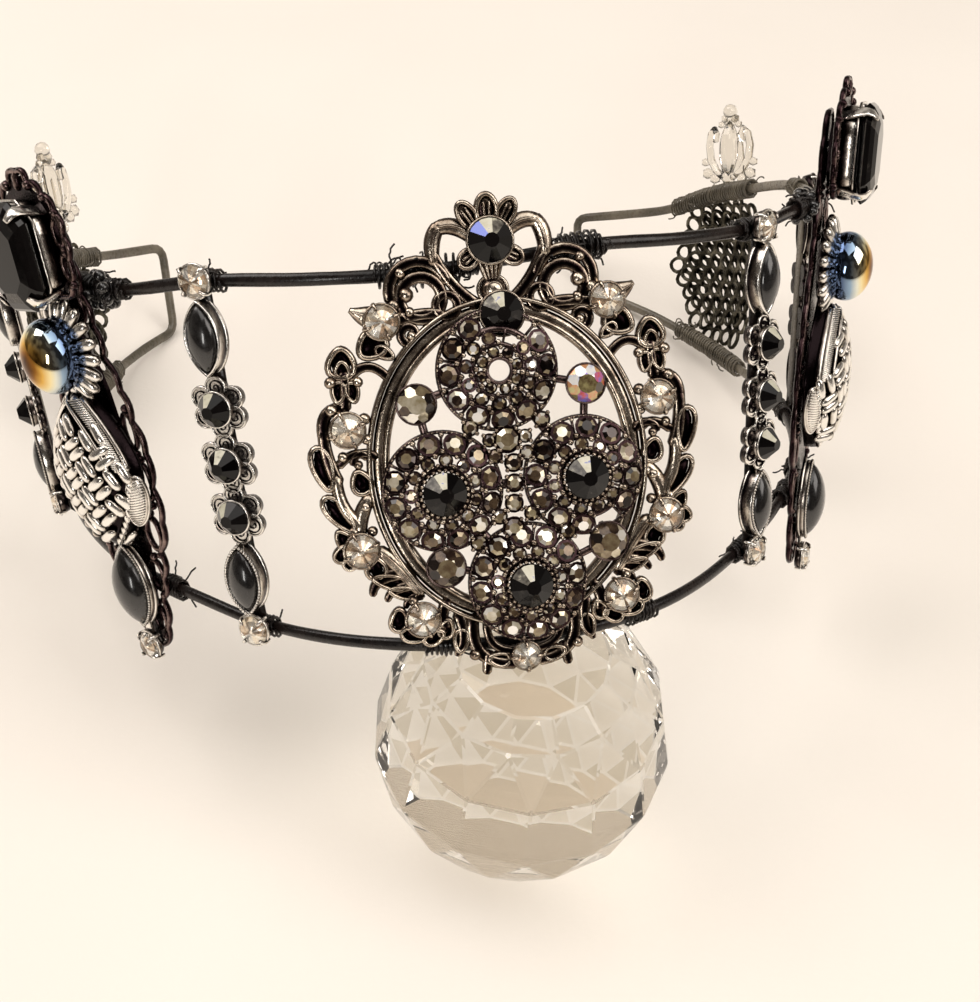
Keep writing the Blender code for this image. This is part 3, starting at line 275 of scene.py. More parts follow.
facetLooks = {
    "hematite": {"metallic": 0.55, "coat": 0.8, "bend": 1.5, "roughness": (0.05, 0.16),
                 "stops": ((0.0, (0.003, 0.0015, 0.0015)), (0.25, (0.034, 0.018, 0.013)),
                           (0.45, (0.17, 0.115, 0.066)), (0.62, (0.42, 0.35, 0.21)),
                           (0.80, (0.86, 0.80, 0.66)), (0.95, (1.0, 0.98, 0.94)))},
    # The black stone's stops from 0.79 up are painted highlights, pale and blue, for the facets turned to the
    # lamps.
    "blackStone": {"metallic": 0.0, "coat": 0.0, "bend": 1.36, "roughness": (0.04, 0.10),
                   "stops": ((0.0, (0.001, 0.0008, 0.001)), (0.50, (0.005, 0.004, 0.004)),
                             (0.66, (0.05, 0.045, 0.04)), (0.74, (0.15, 0.14, 0.12)),
                             (0.79, (0.52, 0.50, 0.39)), (0.92, (0.66, 0.64, 0.54)),
                             (0.95, (0.10, 0.14, 0.50)), (1.0, (0.20, 0.26, 0.74)))},
    "cabochon": {"metallic": 0.0, "coat": 0.8, "bend": 1.5, "roughness": (0.16, 0.34),
                 "stops": ((0.0, (0.003, 0.003, 0.003)), (0.6, (0.010, 0.009, 0.009)),
                           (1.0, (0.04, 0.035, 0.035)))},
    "rainbow": {"metallic": 0.3, "coat": 1.0, "bend": 1.5, "roughness": (0.03, 0.08),
                "stops": ((0.0, (0.01, 0.006, 0.008)), (0.25, (0.10, 0.065, 0.03)),
                          (0.45, (0.55, 0.50, 0.22)), (0.60, (0.75, 0.10, 0.08)),
                          (0.75, (0.12, 0.26, 0.85)), (0.9, (0.98, 0.97, 0.95)))},
    "clearFoil": {"metallic": 0.75, "coat": 0.0, "bend": 1.5, "roughness": (0.10, 0.22),
                  "stops": ((0.0, (0.16, 0.10, 0.07)), (0.25, (0.60, 0.44, 0.31)),
                            (0.5, (0.92, 0.82, 0.68)), (0.75, (0.99, 0.95, 0.88)),
                            (1.0, (1.0, 0.99, 0.97)))},
}

# Each facet of the ball has its own faint shade. The small clear pieces are clouded instead.
glassLooks = {
    "crystal": {"facets": False, "bend": 1.50, "smear": 0.03, "lamp": (0.9, 0.88, 0.85, 1.0),
                "stops": ((0.3, (0.98, 0.96, 0.92)), (0.75, (1.0, 0.9984, 0.9568)))},
    # The finials' crystal is a darker copy of the clear crystal, a painted shade.
    "shadedCrystal": {"facets": False, "bend": 1.52, "smear": 0.06, "lamp": (0.55, 0.52, 0.48, 1.0),
                   "stops": ((0.3, (0.84, 0.81, 0.75)), (0.75, (0.8736, 0.8424, 0.78)))},
    "ballGlass": {"facets": True, "bend": 1.52, "smear": 0.012, "lamp": (0.84, 0.82, 0.79, 1.0),
                  "stops": ((0.0, (0.64, 0.59, 0.48)), (0.3, (0.86, 0.82, 0.73)),
                            (0.6, (0.98, 0.96, 0.91)), (1.0, (1.0, 1.0, 0.98)))},
}


# Glass lets the lamps through to what lies behind it, so nothing behind it stands in a hard shadow.
def glassMaterial(name, look):
    material, tree, shader = startMaterial(name, Roughness=0.0, IOR=look["bend"],
                                           Transmission_Weight=1.0)
    cloud = addGrain(tree, 60.0, 4.0)
    shade = cloud
    if look["facets"]:
        shade = addNode(tree, "ShaderNodeAttribute", attribute_name="tint").outputs["Fac"]
    paint(tree, shader, addRamp(tree, shade, look["stops"]), cloud, (0.0, look["smear"]), (0.45, 0.8))
    shadow = addNode(tree, "ShaderNodeLightPath").outputs["Is Shadow Ray"]
    through = addNode(tree, "ShaderNodeBsdfTransparent", {"Color": look["lamp"]}).outputs["BSDF"]
    mix = addNode(tree, "ShaderNodeMixShader", {0: shadow, 1: shader.outputs["BSDF"], 2: through})
    feed(tree, tree.nodes["Material Output"].inputs["Surface"], mix.outputs["Shader"])
    return material


# Bands of the bead's coating, from its girth (0) to its front (1). The dark brown at the front end is a
# painted reflection.
beadCoatAndReflection = ((0.0, (0.08, 0.12, 0.22)), (0.30, (0.30, 0.42, 0.56)), (0.52, (0.78, 0.80, 0.70)),
             (0.66, (0.90, 0.78, 0.44)), (0.82, (0.74, 0.44, 0.10)), (0.93, (0.26, 0.11, 0.02)),
             (1.0, (0.06, 0.025, 0.01)))


def beadMaterial():
    material, tree, shader = startMaterial("peacockBead", Metallic=1.0)
    cloud = addGrain(tree, 110.0)
    paint(tree, shader, addRamp(tree, addTone(tree, "rise", cloud, 0.06), beadCoatAndReflection), cloud, (0.03, 0.09))
    return material


def clothMaterial():
    material, tree, shader = startMaterial("creamCloth", Roughness=0.85, Sheen_Weight=0.15)
    stops = ((0.35, (0.86, 0.81, 0.75)), (0.7, (0.90, 0.86, 0.80)))
    feed(tree, shader.inputs["Base Color"], addRamp(tree, addGrain(tree, 5.0), stops))
    addBump(tree, shader, addGrain(tree, 900.0, 2.0), 0.12, 0.0004)
    return material


finishes = {}


def makeFinishes():
    for make, looks in ((antiqueMetal, metalLooks), (facetMaterial, facetLooks), (glassMaterial, glassLooks)):
        for name, look in looks.items():
            finishes[name] = make(name, look)
    finishes["blackWire"] = wireMaterial()
    finishes["peacockBead"] = beadMaterial()


def layFloor():
    bm = bmesh.new()
    bmesh.ops.create_grid(bm, x_segments=2, y_segments=2, size=1.6)
    mesh = bpy.data.meshes.new("floor")
    bm.to_mesh(mesh)
    bm.free()
    mesh.materials.append(clothMaterial())
    floor = bpy.data.objects.new("floor", mesh)
    bpy.context.scene.collection.objects.link(floor)



# Shapes. Each vertex keeps its own height on the relief in "rise" (1 on top, -1 below), and each facet
# its own shade in "tint", and the finishes read both.

lampSide = Vector((-0.25, 0.75, 0.60))
shadeSteps = (-1.0, -0.5, 0.0, 0.45, 1.0)
anyCorners = range(3, 1000)


def rising(height):
    return Vector((0.0, 0.0, height))


def polar(reach, angle, height=0.0):
    return Vector((reach * math.cos(angle), reach * math.sin(angle), height))


def newVertices(made):
    return [item for item in made["geom"] if isinstance(item, bmesh.types.BMVert)]


def startShape():
    bm = bmesh.new()
    bm.verts.layers.float.new("rise")
    bm.faces.layers.float.new("tint")
    return bm


def closeShape(bm, smooth=()):
    bmesh.ops.recalc_face_normals(bm, faces=bm.faces)
    for face in bm.faces:
        face.smooth = len(face.verts) in smooth
    mesh = bpy.data.meshes.new("shape")
    bm.to_mesh(mesh)
    bm.free()
    return mesh


def setRise(bm, measure):
    layer = bm.verts.layers.float["rise"]
    for vertex in bm.verts:
        vertex[layer] = measure(vertex.co)


def markRise(bm):
    top = max(abs(vertex.co.z) for vertex in bm.verts)
    setRise(bm, lambda spot: spot.z / top)


# With a shade, each facet draws its own about it. Painted highlights go to the facets turned to the lamps:
# those facets get the given bright shades.
def addShape(bm, mesh, place=None, shade=None, spread=0.0, keep=False, paintedGlints=()):
    copy = mesh.copy() if keep else mesh
    if place is not None:
        copy.transform(place)
    if shade is not None:
        values = [min(1.0, max(0.0, shade + spread * random.choice(shadeSteps))) for _ in copy.polygons]
        ranked = sorted(copy.polygons, key=lambda face: -face.normal.dot(lampSide))
        for face, paintedGlint in zip(ranked, paintedGlints):
            values[face.index] = paintedGlint
        copy.attributes["tint"].data.foreach_set("value", values)
    bm.from_mesh(copy)
    bpy.data.meshes.remove(copy)


def finishPiece(name, bm, finish, nodes=(), place=crownPlace):
    mesh = bpy.data.meshes.new(name)
    bm.to_mesh(mesh)
    bm.free()
    mesh.transform(place @ Matrix.Scale(mm, 4))
    mesh.materials.append(finishes[finish])
    piece = bpy.data.objects.new(name, mesh)
    bpy.context.scene.collection.objects.link(piece)
    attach(piece, "root")
    if nodes:
        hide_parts(*nodes)
    return piece


def section(point, along, up, width, height):
    side = along.cross(up).normalized()
    over = side.cross(along).normalized()
    place = Matrix((side * width / 2, over * height / 2, along)).transposed().to_4x4()
    place.translation = point
    return place



# A stroke of oval section along a path. A groove sinks the line on its top, as on cast strokes, and that line
# is painted dark: a painted shade between two ridges.
def drawTube(path, widths, heights, sides=8, closed=False, up=(0.0, 0.0, 1.0), blunt=0.3, groove=0.0):
    count = len(path)
    path = [Vector(point) for point in path]
    widths = widths if hasattr(widths, "__len__") else [widths] * count
    heights = heights if hasattr(heights, "__len__") else [heights] * count
    ups = up if isinstance(up, list) else [Vector(up)] * count
    places = []
    for i, point in enumerate(path):
        before = path[i - 1] if closed or i else path[0]
        after = path[(i + 1) % count] if closed or i < count - 1 else path[-1]
        places.append(section(point, (after - before).normalized(), ups[i], widths[i], heights[i]))
    if closed:
        places.append(places[0].copy())
    elif blunt:
        for end, sign in ((0, -1.0), (count - 1, 1.0)):
            tip = places[end].copy()
            along = tip.col[2].xyz
            for column in (0, 1):
                tip.col[column] = tip.col[column] * 0.55
            tip.translation = path[end] + along * sign * blunt * widths[end]
            places.insert(0, tip) if sign < 0 else places.append(tip)
    bm = startShape()
    bmesh.ops.create_circle(bm, segments=sides, radius=1.0)
    layer = bm.verts.layers.float["rise"]
    for vertex in bm.verts:
        vertex[layer] = vertex.co.y
        # Painted shade: the line in the groove is painted dark.
        if groove and vertex.co.y > 0.99:
            vertex.co.y -= groove
            vertex[layer] = -0.6
    bmesh.ops.transform(bm, matrix=places[0], verts=bm.verts)
    ring = bm.edges[:]
    if not closed:
        bmesh.ops.contextual_create(bm, geom=ring)
    for before, now in zip(places, places[1:]):
        made = bmesh.ops.extrude_edge_only(bm, edges=ring)
        fresh = newVertices(made)
        ring = [item for item in made["geom"] if isinstance(item, bmesh.types.BMEdge) and item.is_boundary]
        bmesh.ops.transform(bm, matrix=now @ before.inverted(), verts=fresh)
    if closed:
        bmesh.ops.remove_doubles(bm, verts=bm.verts, dist=1e-4)
    else:
        bmesh.ops.contextual_create(bm, geom=ring)
    return closeShape(bm, (4,))


def ballShape(radius, half=(1.0, 1.0, 1.0), detail=2):
    bm = startShape()
    bmesh.ops.create_icosphere(bm, subdivisions=detail, radius=radius)
    bmesh.ops.scale(bm, vec=half, verts=bm.verts)
    markRise(bm)
    return closeShape(bm, anyCorners)


def cupShape(low, high, base, top, sides=20, topRise=0.35):
    bm = startShape()
    bmesh.ops.create_cone(bm, cap_ends=True, segments=sides, radius1=low, radius2=high, depth=top - base)
    middle = (top + base) / 2
    bmesh.ops.translate(bm, vec=(0.0, 0.0, middle), verts=bm.verts)
    setRise(bm, lambda spot: topRise if spot.z > middle else -0.8)
    return closeShape(bm, (4,))


def cutFlat(bm, direction, distance):
    direction = Vector(direction).normalized()
    cut = bmesh.ops.bisect_plane(bm, geom=bm.verts[:] + bm.edges[:] + bm.faces[:], dist=1e-5,
                                 plane_co=direction * distance, plane_no=direction, clear_outer=True)
    rim = [item for item in cut["geom_cut"] if isinstance(item, bmesh.types.BMEdge)]
    if len(rim) > 2:
        bmesh.ops.contextual_create(bm, geom=rim)

def facetRow(bm, count, tilt, distance, turn):
    for i in range(count):
        angle = math.radians(turn + 360.0 * i / count)
        cutFlat(bm, polar(math.sin(tilt), angle, math.cos(tilt)), distance)


# Stone of unit radius: main facets at the tilt, then a girdle row and star facets, a table and a flat back.
def roundStone(mains, table, tilt, depth, stars=True):
    bm = startShape()
    bmesh.ops.create_cone(bm, cap_ends=True, segments=mains * 2, radius1=1.0, radius2=1.0, depth=2.4)
    half = 180.0 / mains
    slope, low = math.radians(tilt), math.radians(tilt * 0.62)
    crown = (1.0 - table) * math.tan(slope)
    facetRow(bm, mains, slope, math.sin(slope) * 0.985, half / 2)
    if stars:
        steep = slope + math.radians(9.0)
        facetRow(bm, mains, steep, math.sin(steep) * 0.965, half / 2 + half)
        facetRow(bm, mains, low, math.sin(low) * table * 1.10 + math.cos(low) * crown * 0.93, half / 2 + half)
    cutFlat(bm, (0.0, 0.0, 1.0), crown)
    cutFlat(bm, (0.0, 0.0, -1.0), depth)
    return closeShape(bm)


def addRing(bm, reach, height, width, thick, sides, centre=(0.0, 0.0), count=24):
    half = reach if isinstance(reach, tuple) else (reach, reach)
    addShape(bm, drawTube(ellipsePath(*half, count, centre, height), width, thick, sides, closed=True))


def addBall(bm, spot, radius, half=(1.0, 1.0, 1.0), detail=2):
    addShape(bm, ballShape(radius, half, detail), Matrix.Translation(spot))


def addCup(bm, x, y, *sizes):
    addShape(bm, cupShape(*sizes), Matrix.Translation((x, y, 0.0)))


def addGrip(bm, grain, spot, size):
    addShape(bm, grain, Matrix.Translation(spot) @ Matrix.Scale(size, 4), keep=True)


# Placing

def alongWire(table, azimuth):
    spot = 0
    while spot < len(table) - 2 and table[spot + 1][0] < azimuth:
        spot += 1
    rows = [table[max(0, min(len(table) - 1, spot + k))] for k in (-1, 0, 1, 2)]
    start, end = rows[1][0], rows[2][0]
    part = (azimuth - start) / (end - start)
    values = []
    for column in (1, 2):
        before, low, high, after = (row[column] for row in rows)
        riseLow = (high - before) * (end - start) / max(end - rows[0][0], 1.0)
        riseHigh = (after - low) * (end - start) / max(rows[3][0] - start, 1.0)
        values.append(low * (1 + 2 * part) * (1 - part) ** 2 + riseLow * part * (1 - part) ** 2
                      + high * part ** 2 * (3 - 2 * part) + riseHigh * part ** 2 * (part - 1))
    return values


def onWire(table, azimuth):
    radius, height = alongWire(table, azimuth)
    angle = math.radians(azimuth)
    return Vector((radius * math.sin(angle), -radius * math.cos(angle), height))


def outwardAt(azimuth):
    angle = math.radians(azimuth)
    return Vector((math.sin(angle), -math.cos(angle), 0.0))


def placing(origin, turn, lean):
    turn, lean = math.radians(turn), math.radians(lean)
    out = Vector((math.sin(turn) * math.cos(lean), -math.cos(turn) * math.cos(lean), -math.sin(lean)))
    right = Vector((math.cos(turn), math.sin(turn), 0.0))
    matrix = Matrix((right, out.cross(right), out)).transposed().to_4x4()
    matrix.translation = Vector(origin)
    return matrix


def local(matrix):
    placed = matrix.copy()
    placed.translation = matrix.translation * mm
    return crownPlace @ placed


def standOn(spot, angle=0.0, slope=0.0, turn=0.0, size=1.0):
    return (Matrix.Translation(spot) @ Matrix.Rotation(angle, 4, "Z") @ Matrix.Rotation(slope, 4, "Y")
            @ Matrix.Rotation(turn, 4, "Z") @ Matrix.Scale(size, 4))


def ellipsePath(halfWidth, halfHeight, count, centre=(0.0, 0.0), height=0.0):
    angles = [2 * math.pi * i / count for i in range(count)]
    return [Vector((centre[0] + halfWidth * math.cos(angle), centre[1] + halfHeight * math.sin(angle), height))
            for angle in angles]


def navettePath(halfWidth, halfLength, perSide, centre=(0.0, 0.0), height=0.0):
    radius = (halfLength ** 2 + halfWidth ** 2) / (2 * halfWidth)
    reach = math.asin(halfLength / radius)
    points = []
    for side in (1, -1):
        for i in range(perSide):
            angle = -reach + 2 * reach * i / perSide
            x = side * (radius * math.cos(angle) - radius + halfWidth)
            points.append(Vector((centre[0] + x, centre[1] + side * radius * math.sin(angle), height)))
    return points


# Wire frame

frameWire = {"height": 2.3, "thickness": 1.8, "step": 1.8, "bend": 3.0, "sides": 14, "ripple": 0.06}


def bentCorner(before, corner, after):
    start = corner + (before - corner).normalized() * frameWire["bend"]
    end = corner + (after - corner).normalized() * frameWire["bend"]
    return [start * (1 - t) ** 2 + corner * 2 * t * (1 - t) + end * t ** 2
            for t in (0.0, 0.25, 0.5, 0.75, 1.0)]


def wireRun(table, inset):
    first, last = table[0][0] + inset, table[-1][0] - inset
    count = round((last - first) / frameWire["step"])
    return [onWire(table, first + (last - first) * i / count) for i in range(count + 1)]


def makeFrameWire():
    inset = math.degrees(frameWire["bend"] / 80.0) + 0.6
    upper, lower = wireRun(upperWire, inset), wireRun(lowerWire, inset)[::-1]
    corners = [onWire(table, table[end][0]) for table, end in
               ((upperWire, -1), (lowerWire, -1), (lowerWire, 0), (upperWire, 0))]
    path = (upper + bentCorner(upper[-1], *corners[:2]) + bentCorner(*corners[:2], lower[0])
            + lower + bentCorner(lower[-1], *corners[2:]) + bentCorner(*corners[2:], upper[0]))
    ups, widths, heights = [], [], []
    for point in path:
        ups.append(Vector((point.x, point.y, 0.0)).normalized())
        ripple = 1 + frameWire["ripple"] * noise.noise(point * 0.16)
        widths.append(frameWire["height"] * (ripple - 0.05))
        heights.append(frameWire["thickness"] * (1.95 - ripple))
    bm = startShape()
    addShape(bm, drawTube(path, widths, heights, frameWire["sides"], closed=True, up=ups))
    finishPiece("frame_wire_dressed", bm, "blackWire", ["frame_wire"])
    print("frame wire bent from", len(path), "points")


# Front medallion. Its rims: step off the half sizes, width, thickness and height.

medallion = {"at": (-3.3, -83.3, 30.0), "turn": -4.1, "lean": -6.1, "rimY": -1.3, "rimHalf": (20.7, 24.6),
             "rims": ((1.45, 1.0, 2.0, 0.2), (-0.1, 2.0, 1.2, -0.25), (-1.15, 1.3, 1.9, 0.25))}
medallionPlace = placing(medallion["at"], medallion["turn"], medallion["lean"])

# Border scrolls, right half: centre x, y, start and end radius, start and end angle, start and end width.
scrolls = (
    (11.3, 25.9, 3.3, 3.3, 0, 360, 1.6, 1.6), (11.6, 27.0, 4.6, 4.5, 165, -12, 1.5, 1.6),
    (7.4, 24.4, 1.7, 1.7, 0, 360, 1.2, 1.2), (13.6, 20.6, 1.5, 0.8, -60, 230, 1.3, 1.0),
    (23.0, 0.9, 2.3, 1.6, 150, 20, 1.2, 1.0))

# Border stems, right half: start x, y, bend x, y, end x, y, start and end width.
stems = (
    (2.8, 24.2, 6.6, 27.0, 8.8, 32.4, 1.6, 1.4), (8.6, 23.2, 12.4, 23.8, 15.8, 22.6, 1.5, 1.6),
    (2.0, 34.0, 5.0, 37.3, 7.7, 36.2, 2.0, 2.1), (7.6, 36.4, 9.2, 34.6, 8.8, 31.2, 2.1, 1.9),
    (19.0, 23.6, 20.6, 24.0, 22.2, 25.0, 3.6, 1.0), (17.8, 14.4, 20.6, 17.8, 23.4, 14.9, 1.2, 1.3),
    (24.4, 15.4, 24.4, 12.6, 24.7, 10.2, 1.3, 1.5), (25.2, 10.3, 28.8, 10.4, 28.5, 6.2, 1.5, 1.6),
    (28.5, 6.8, 28.7, 2.6, 27.2, -1.2, 1.5, 1.8), (27.3, -0.6, 27.6, -5.6, 24.4, -8.6, 1.8, 2.1),
    (22.2, 2.2, 23.8, 3.9, 26.6, 1.4, 1.1, 1.2), (22.5, -4.4, 24.4, -6.4, 24.5, -9.6, 1.9, 2.0),
    (21.8, -13.0, 19.0, -15.4, 16.2, -20.4, 2.1, 1.9),
    (23.6, -19.7, 23.4, -17.3, 19.4, -16.9, 1.0, 1.9),
    (21.4, -20.9, 20.9, -19.2, 17.4, -19.0, 0.9, 1.6),
    (18.6, -22.4, 18.4, -21.0, 16.0, -20.8, 0.8, 1.3),
    (10.4, -24.8, 9.2, -28.8, 11.2, -31.2, 1.7, 0.9),
    (8.2, -25.6, 9.6, -33.4, 2.2, -33.9, 1.7, 1.5), (6.0, -26.6, 6.6, -31.4, 1.6, -31.9, 1.1, 1.1),
    (6.1, -31.9, 6.5, -33.2, 6.7, -34.7, 1.5, 1.2),
    (12.2, -22.6, 13.4, -24.4, 12.6, -26.4, 1.6, 1.3))

# Hollow leaves and volutes, right half: x, y, length, width, turn of the pointed end. A rolled rim stands
# round a sunk middle, which is painted dark: a painted shade in the hollow.
pods = (
    (19.6, 19.4, 4.6, 4.0, -35), (17.8, 18.1, 3.0, 1.7, -145), (24.6, 17.1, 4.6, 4.0, 95),
    (24.6, 16.2, 2.4, 2.0, 95), (25.5, 12.7, 3.2, 2.0, -80), (23.4, 12.5, 3.0, 1.9, -100),
    (29.2, 1.1, 7.0, 2.9, -102), (27.5, -6.4, 7.0, 2.7, -125), (23.5, -1.7, 3.8, 2.9, 75),
    (27.2, -10.4, 3.2, 2.1, 60), (27.7, -12.6, 3.0, 2.0, 120), (26.4, -14.2, 2.6, 1.8, 150),
    (22.8, -15.4, 3.8, 3.0, 70), (20.8, -18.0, 5.4, 2.1, 20), (18.9, -20.0, 4.4, 1.8, 18),
    (19.9, -24.4, 3.8, 2.7, 95), (17.9, -27.0, 3.8, 2.4, 200), (14.7, -27.8, 3.4, 2.2, 160),
    (12.6, -26.7, 3.2, 2.2, 110), (10.4, -29.0, 3.6, 2.1, -80), (4.6, -32.9, 3.4, 2.1, 15))

# Small balls of the border, right half: x, y, radius.
knobs = (
    (26.6, 14.3, 1.0), (22.4, 14.0, 0.9), (26.9, 10.0, 1.1), (25.9, 2.6, 0.9), (22.0, 8.2, 1.0),
    (22.0, 5.0, 0.9), (25.6, -9.4, 1.0), (22.6, -9.6, 0.9), (17.4, -21.6, 0.9), (8.4, -31.6, 1.0),
    (14.2, 30.0, 0.9), (15.6, 25.2, 1.0), (13.3, 23.9, 0.9), (23.2, -5.6, 0.9))
strokeHeight, strokeMiddle = 1.9, 0.15
thinStem, veinedStem = 1.75, 1.9
leftStretch = 1.004

# Petals of the finial: base x, y, tip x, y, width.
petals = ((0.05, 35.2, 0.05, 41.0, 3.5), (1.5, 35.3, 4.3, 39.9, 2.9), (-1.5, 35.3, -4.3, 39.9, 2.9),
          (1.7, 32.3, 5.0, 30.2, 2.9), (-1.7, 32.3, -5.0, 30.2, 2.9))

borderStones = ((17.85, 22.9), (24.8, 6.8), (24.7, -12.4), (16.2, -24.6))
bottomStone = (-0.2, -32.6, 2.2)
clearStone = {"radius": 2.65, "seat": 1.75, "cup": 1.5}
highStones = {"top_stone": (0.8, 22.4, 3.3), "finial_stone": (0.0, 33.7, 3.4)}
highCup = 2.4
finialFoot = {"y": 26.2, "flute": (1.9, 31.4, 1.5, 29.4, 0.8, 27.4, 0.85, 0.6)}

# Claws: reach past the stone and height over the cup, then their widths.
claw = {"path": ((0.25, -0.9), (0.32, 0.3), (0.02, 0.8925), (-0.55, 1.1025)),
        "widths": (0.75, 0.75, 0.675, 0.5625), "thick": 0.6}


def scrollPath(row, mirror):
    x, y, radiusA, radiusB, angleA, angleB, widthA, widthB = row
    closed = abs(angleB - angleA) == 360
    count = round(abs(angleB - angleA) / 15.0)
    path, widths = [], []
    for i in range(count if closed else count + 1):
        part = i / count
        angle = math.radians(angleA + (angleB - angleA) * part)
        radius = radiusA + (radiusB - radiusA) * part
        path.append(Vector((mirror * (x + radius * math.cos(angle)), y + radius * math.sin(angle),
                            strokeMiddle)))
        widths.append(widthA + (widthB - widthA) * part)
    return path, widths, closed


def addPod(bm, row, mirror):
    x, y, length, width, turn = row
    turn = math.radians(turn)
    path = []
    for i in range(20):
        angle = 2 * math.pi * i / 20
        u, v = 0.5 * length * math.cos(angle), 0.5 * width * math.sin(angle) * (1 - 0.30 * math.cos(angle))
        path.append(Vector((mirror * (x + u * math.cos(turn) - v * math.sin(turn)),
                            y + u * math.sin(turn) + v * math.cos(turn), 0.25 + 0.25 * math.cos(angle))))
    addShape(bm, drawTube(path, 0.52 + 0.15 * width, 1.8, 9, closed=True))
    # The sunk middle is painted dark, a painted shade in the hollow.
    shadedHollow = ballShape(1.0)
    paintedShadeDepths = [-0.25 - 0.3 * (k % 3) for k in range(len(shadedHollow.vertices))]
    shadedHollow.attributes["rise"].data.foreach_set("value", paintedShadeDepths)
    spin = Matrix.Rotation(turn if mirror > 0 else math.pi - turn, 4, "Z")
    addShape(bm, shadedHollow, Matrix.Translation((mirror * x, y, -0.15)) @ spin
             @ Matrix.Diagonal((0.44 * length, 0.40 * width, 0.7, 1.0)))


def stemPath(row, mirror, height=strokeMiddle, steps=9):
    start, bend, end = Vector(row[0:2]), Vector(row[2:4]), Vector(row[4:6])
    path, widths = [], []
    for i in range(steps + 1):
        part = i / steps
        point = start * (1 - part) ** 2 + bend * 2 * part * (1 - part) + end * part ** 2
        path.append(Vector((mirror * point.x, point.y, height)))
        widths.append(row[6] + (row[7] - row[6]) * part + 0.35 * math.sin(math.pi * part) * (row[6] > 1.8))
    return path, widths


# Rounded petal: a hollow blade, a rolled rim around it and two flutes down its middle.
def addPetal(bm, row):
    base, tip, width = Vector((row[0], row[1], 0.4)), Vector((row[2], row[3], 1.0)), row[4]
    ahead = tip - base
    across = ahead.cross(rising(1.0)).normalized()
    blade = section(base.lerp(tip, 0.5), ahead.normalized(), rising(1.0), width * 0.85, 0.8)
    addShape(bm, ballShape(1.0), blade @ Matrix.Diagonal((1.0, 1.0, ahead.length * 0.48, 1.0)))
    rim = []
    for i in range(19):
        angle = math.pi * (-0.18 + 1.36 * i / 18)
        along = 0.52 + 0.44 * math.sin(angle)
        rim.append(base.lerp(tip, along) + across * (width * 0.46 * math.cos(angle)) + rising(0.5))
    addShape(bm, drawTube(rim, width * 0.27, 1.0, 8))
    for side in (-1.0, 1.0):
        path = [base.lerp(tip, 0.04 + 0.70 * i / 6) + across * side * width * (0.08 + 0.05 * i / 6)
                + rising(0.55) for i in range(7)]
        addShape(bm, drawTube(path, width * 0.16, 0.6, 6))


def addPronged(bm, x, y, radius, top, back=-0.9, turn=45.0):
    addCup(bm, x, y, radius * 0.86, radius + 0.28, back, top)
    addRing(bm, radius + 0.12, top, 0.5, 0.5, 6, (x, y))
    for i in range(4):
        out = polar(1.0, math.radians(turn + 90.0 * i))
        path = [Vector((x, y, top + lift)) + out * (radius + over) for over, lift in claw["path"]]
        addShape(bm, drawTube(path, claw["widths"], claw["thick"], 6, up=out))


def addBorderHalf(bm, mirror):
    for row in scrolls:
        path, widths, closed = scrollPath(row, mirror)
        widths = [width * 1.3 for width in widths]
        addShape(bm, drawTube(path, widths, strokeHeight, 10, closed=closed, groove=0.45))
        if not closed:
            spot = Vector((mirror * row[0], row[1], strokeMiddle + 0.25))
            addBall(bm, path[-1].lerp(spot, 0.55) + rising(0.35), row[7] * 0.78)
    for row in stems:
        path, widths = stemPath(row, mirror)
        heights = [min(strokeHeight, width * 1.5) for width in widths]
        swell, groove = (1.35, 0.42) if row[6] < thinStem else (1.15, 0.0)
        addShape(bm, drawTube(path, [width * swell for width in widths], heights, 10, groove=groove))
        if row[6] > veinedStem:
            vein = [point + rising(strokeHeight * 0.45) for point in path]
            addShape(bm, drawTube(vein, [width * 0.28 for width in widths], 0.5, 6))
    for row in pods:
        addPod(bm, row, mirror)
    for x, y, radius in knobs:
        addBall(bm, (mirror * x, y, 0.5), radius)
    for x, y in borderStones:
        addPronged(bm, mirror * x, y, clearStone["radius"], clearStone["cup"], turn=20.0)


def makeFiligree():
    bm = startShape()
    half = medallion["rimHalf"]
    for off, width, thick, height in medallion["rims"]:
        addRing(bm, (half[0] + off, half[1] + off), height, width, thick, 10, (0.0, medallion["rimY"]), 120)
    for mirror in (1.0, -leftStretch):
        addBorderHalf(bm, mirror)
    addPronged(bm, *bottomStone, clearStone["cup"], turn=0.0)
    for x, y, radius in highStones.values():
        addCup(bm, x, y, radius * 0.84, radius + 0.3, -0.8, highCup)
        addRing(bm, radius + 0.2, highCup, 0.5, 0.6, 6, (x, y), 28)
    for row in petals:
        addPetal(bm, row)
    x, y, bendX, bendY, endX, endY, start, end = finialFoot["flute"]
    for i in range(5):
        lean = (i - 2) / 2
        path, widths = stemPath((x * lean, y, bendX * lean, bendY, endX * lean, endY, start, end), 1.0, 0.7)
        addShape(bm, drawTube(path, widths, 1.6, 8))
    foot = (0.0, finialFoot["y"])
    addBall(bm, (*foot, 0.9), 2.0, (1.0, 0.9, 0.75), 3)
    addRing(bm, (2.3, 2.1), 0.6, 0.7, 1.2, 8, foot, 28)
    addRing(bm, (1.2, 1.1), 2.1, 0.35, 0.4, 6, foot, 20)
    finishPiece("medallion_border", bm, "gunmetal", ["medallion_filigree"], local(medallionPlace))
    print("medallion border cast")


# Rosettes inside the rim: x, y, whether a black stone fills the middle.
rosettes = ((-0.8, 13.8, False), (-11.2, -4.3, True), (11.4, -4.2, True), (1.0, -20.3, True))
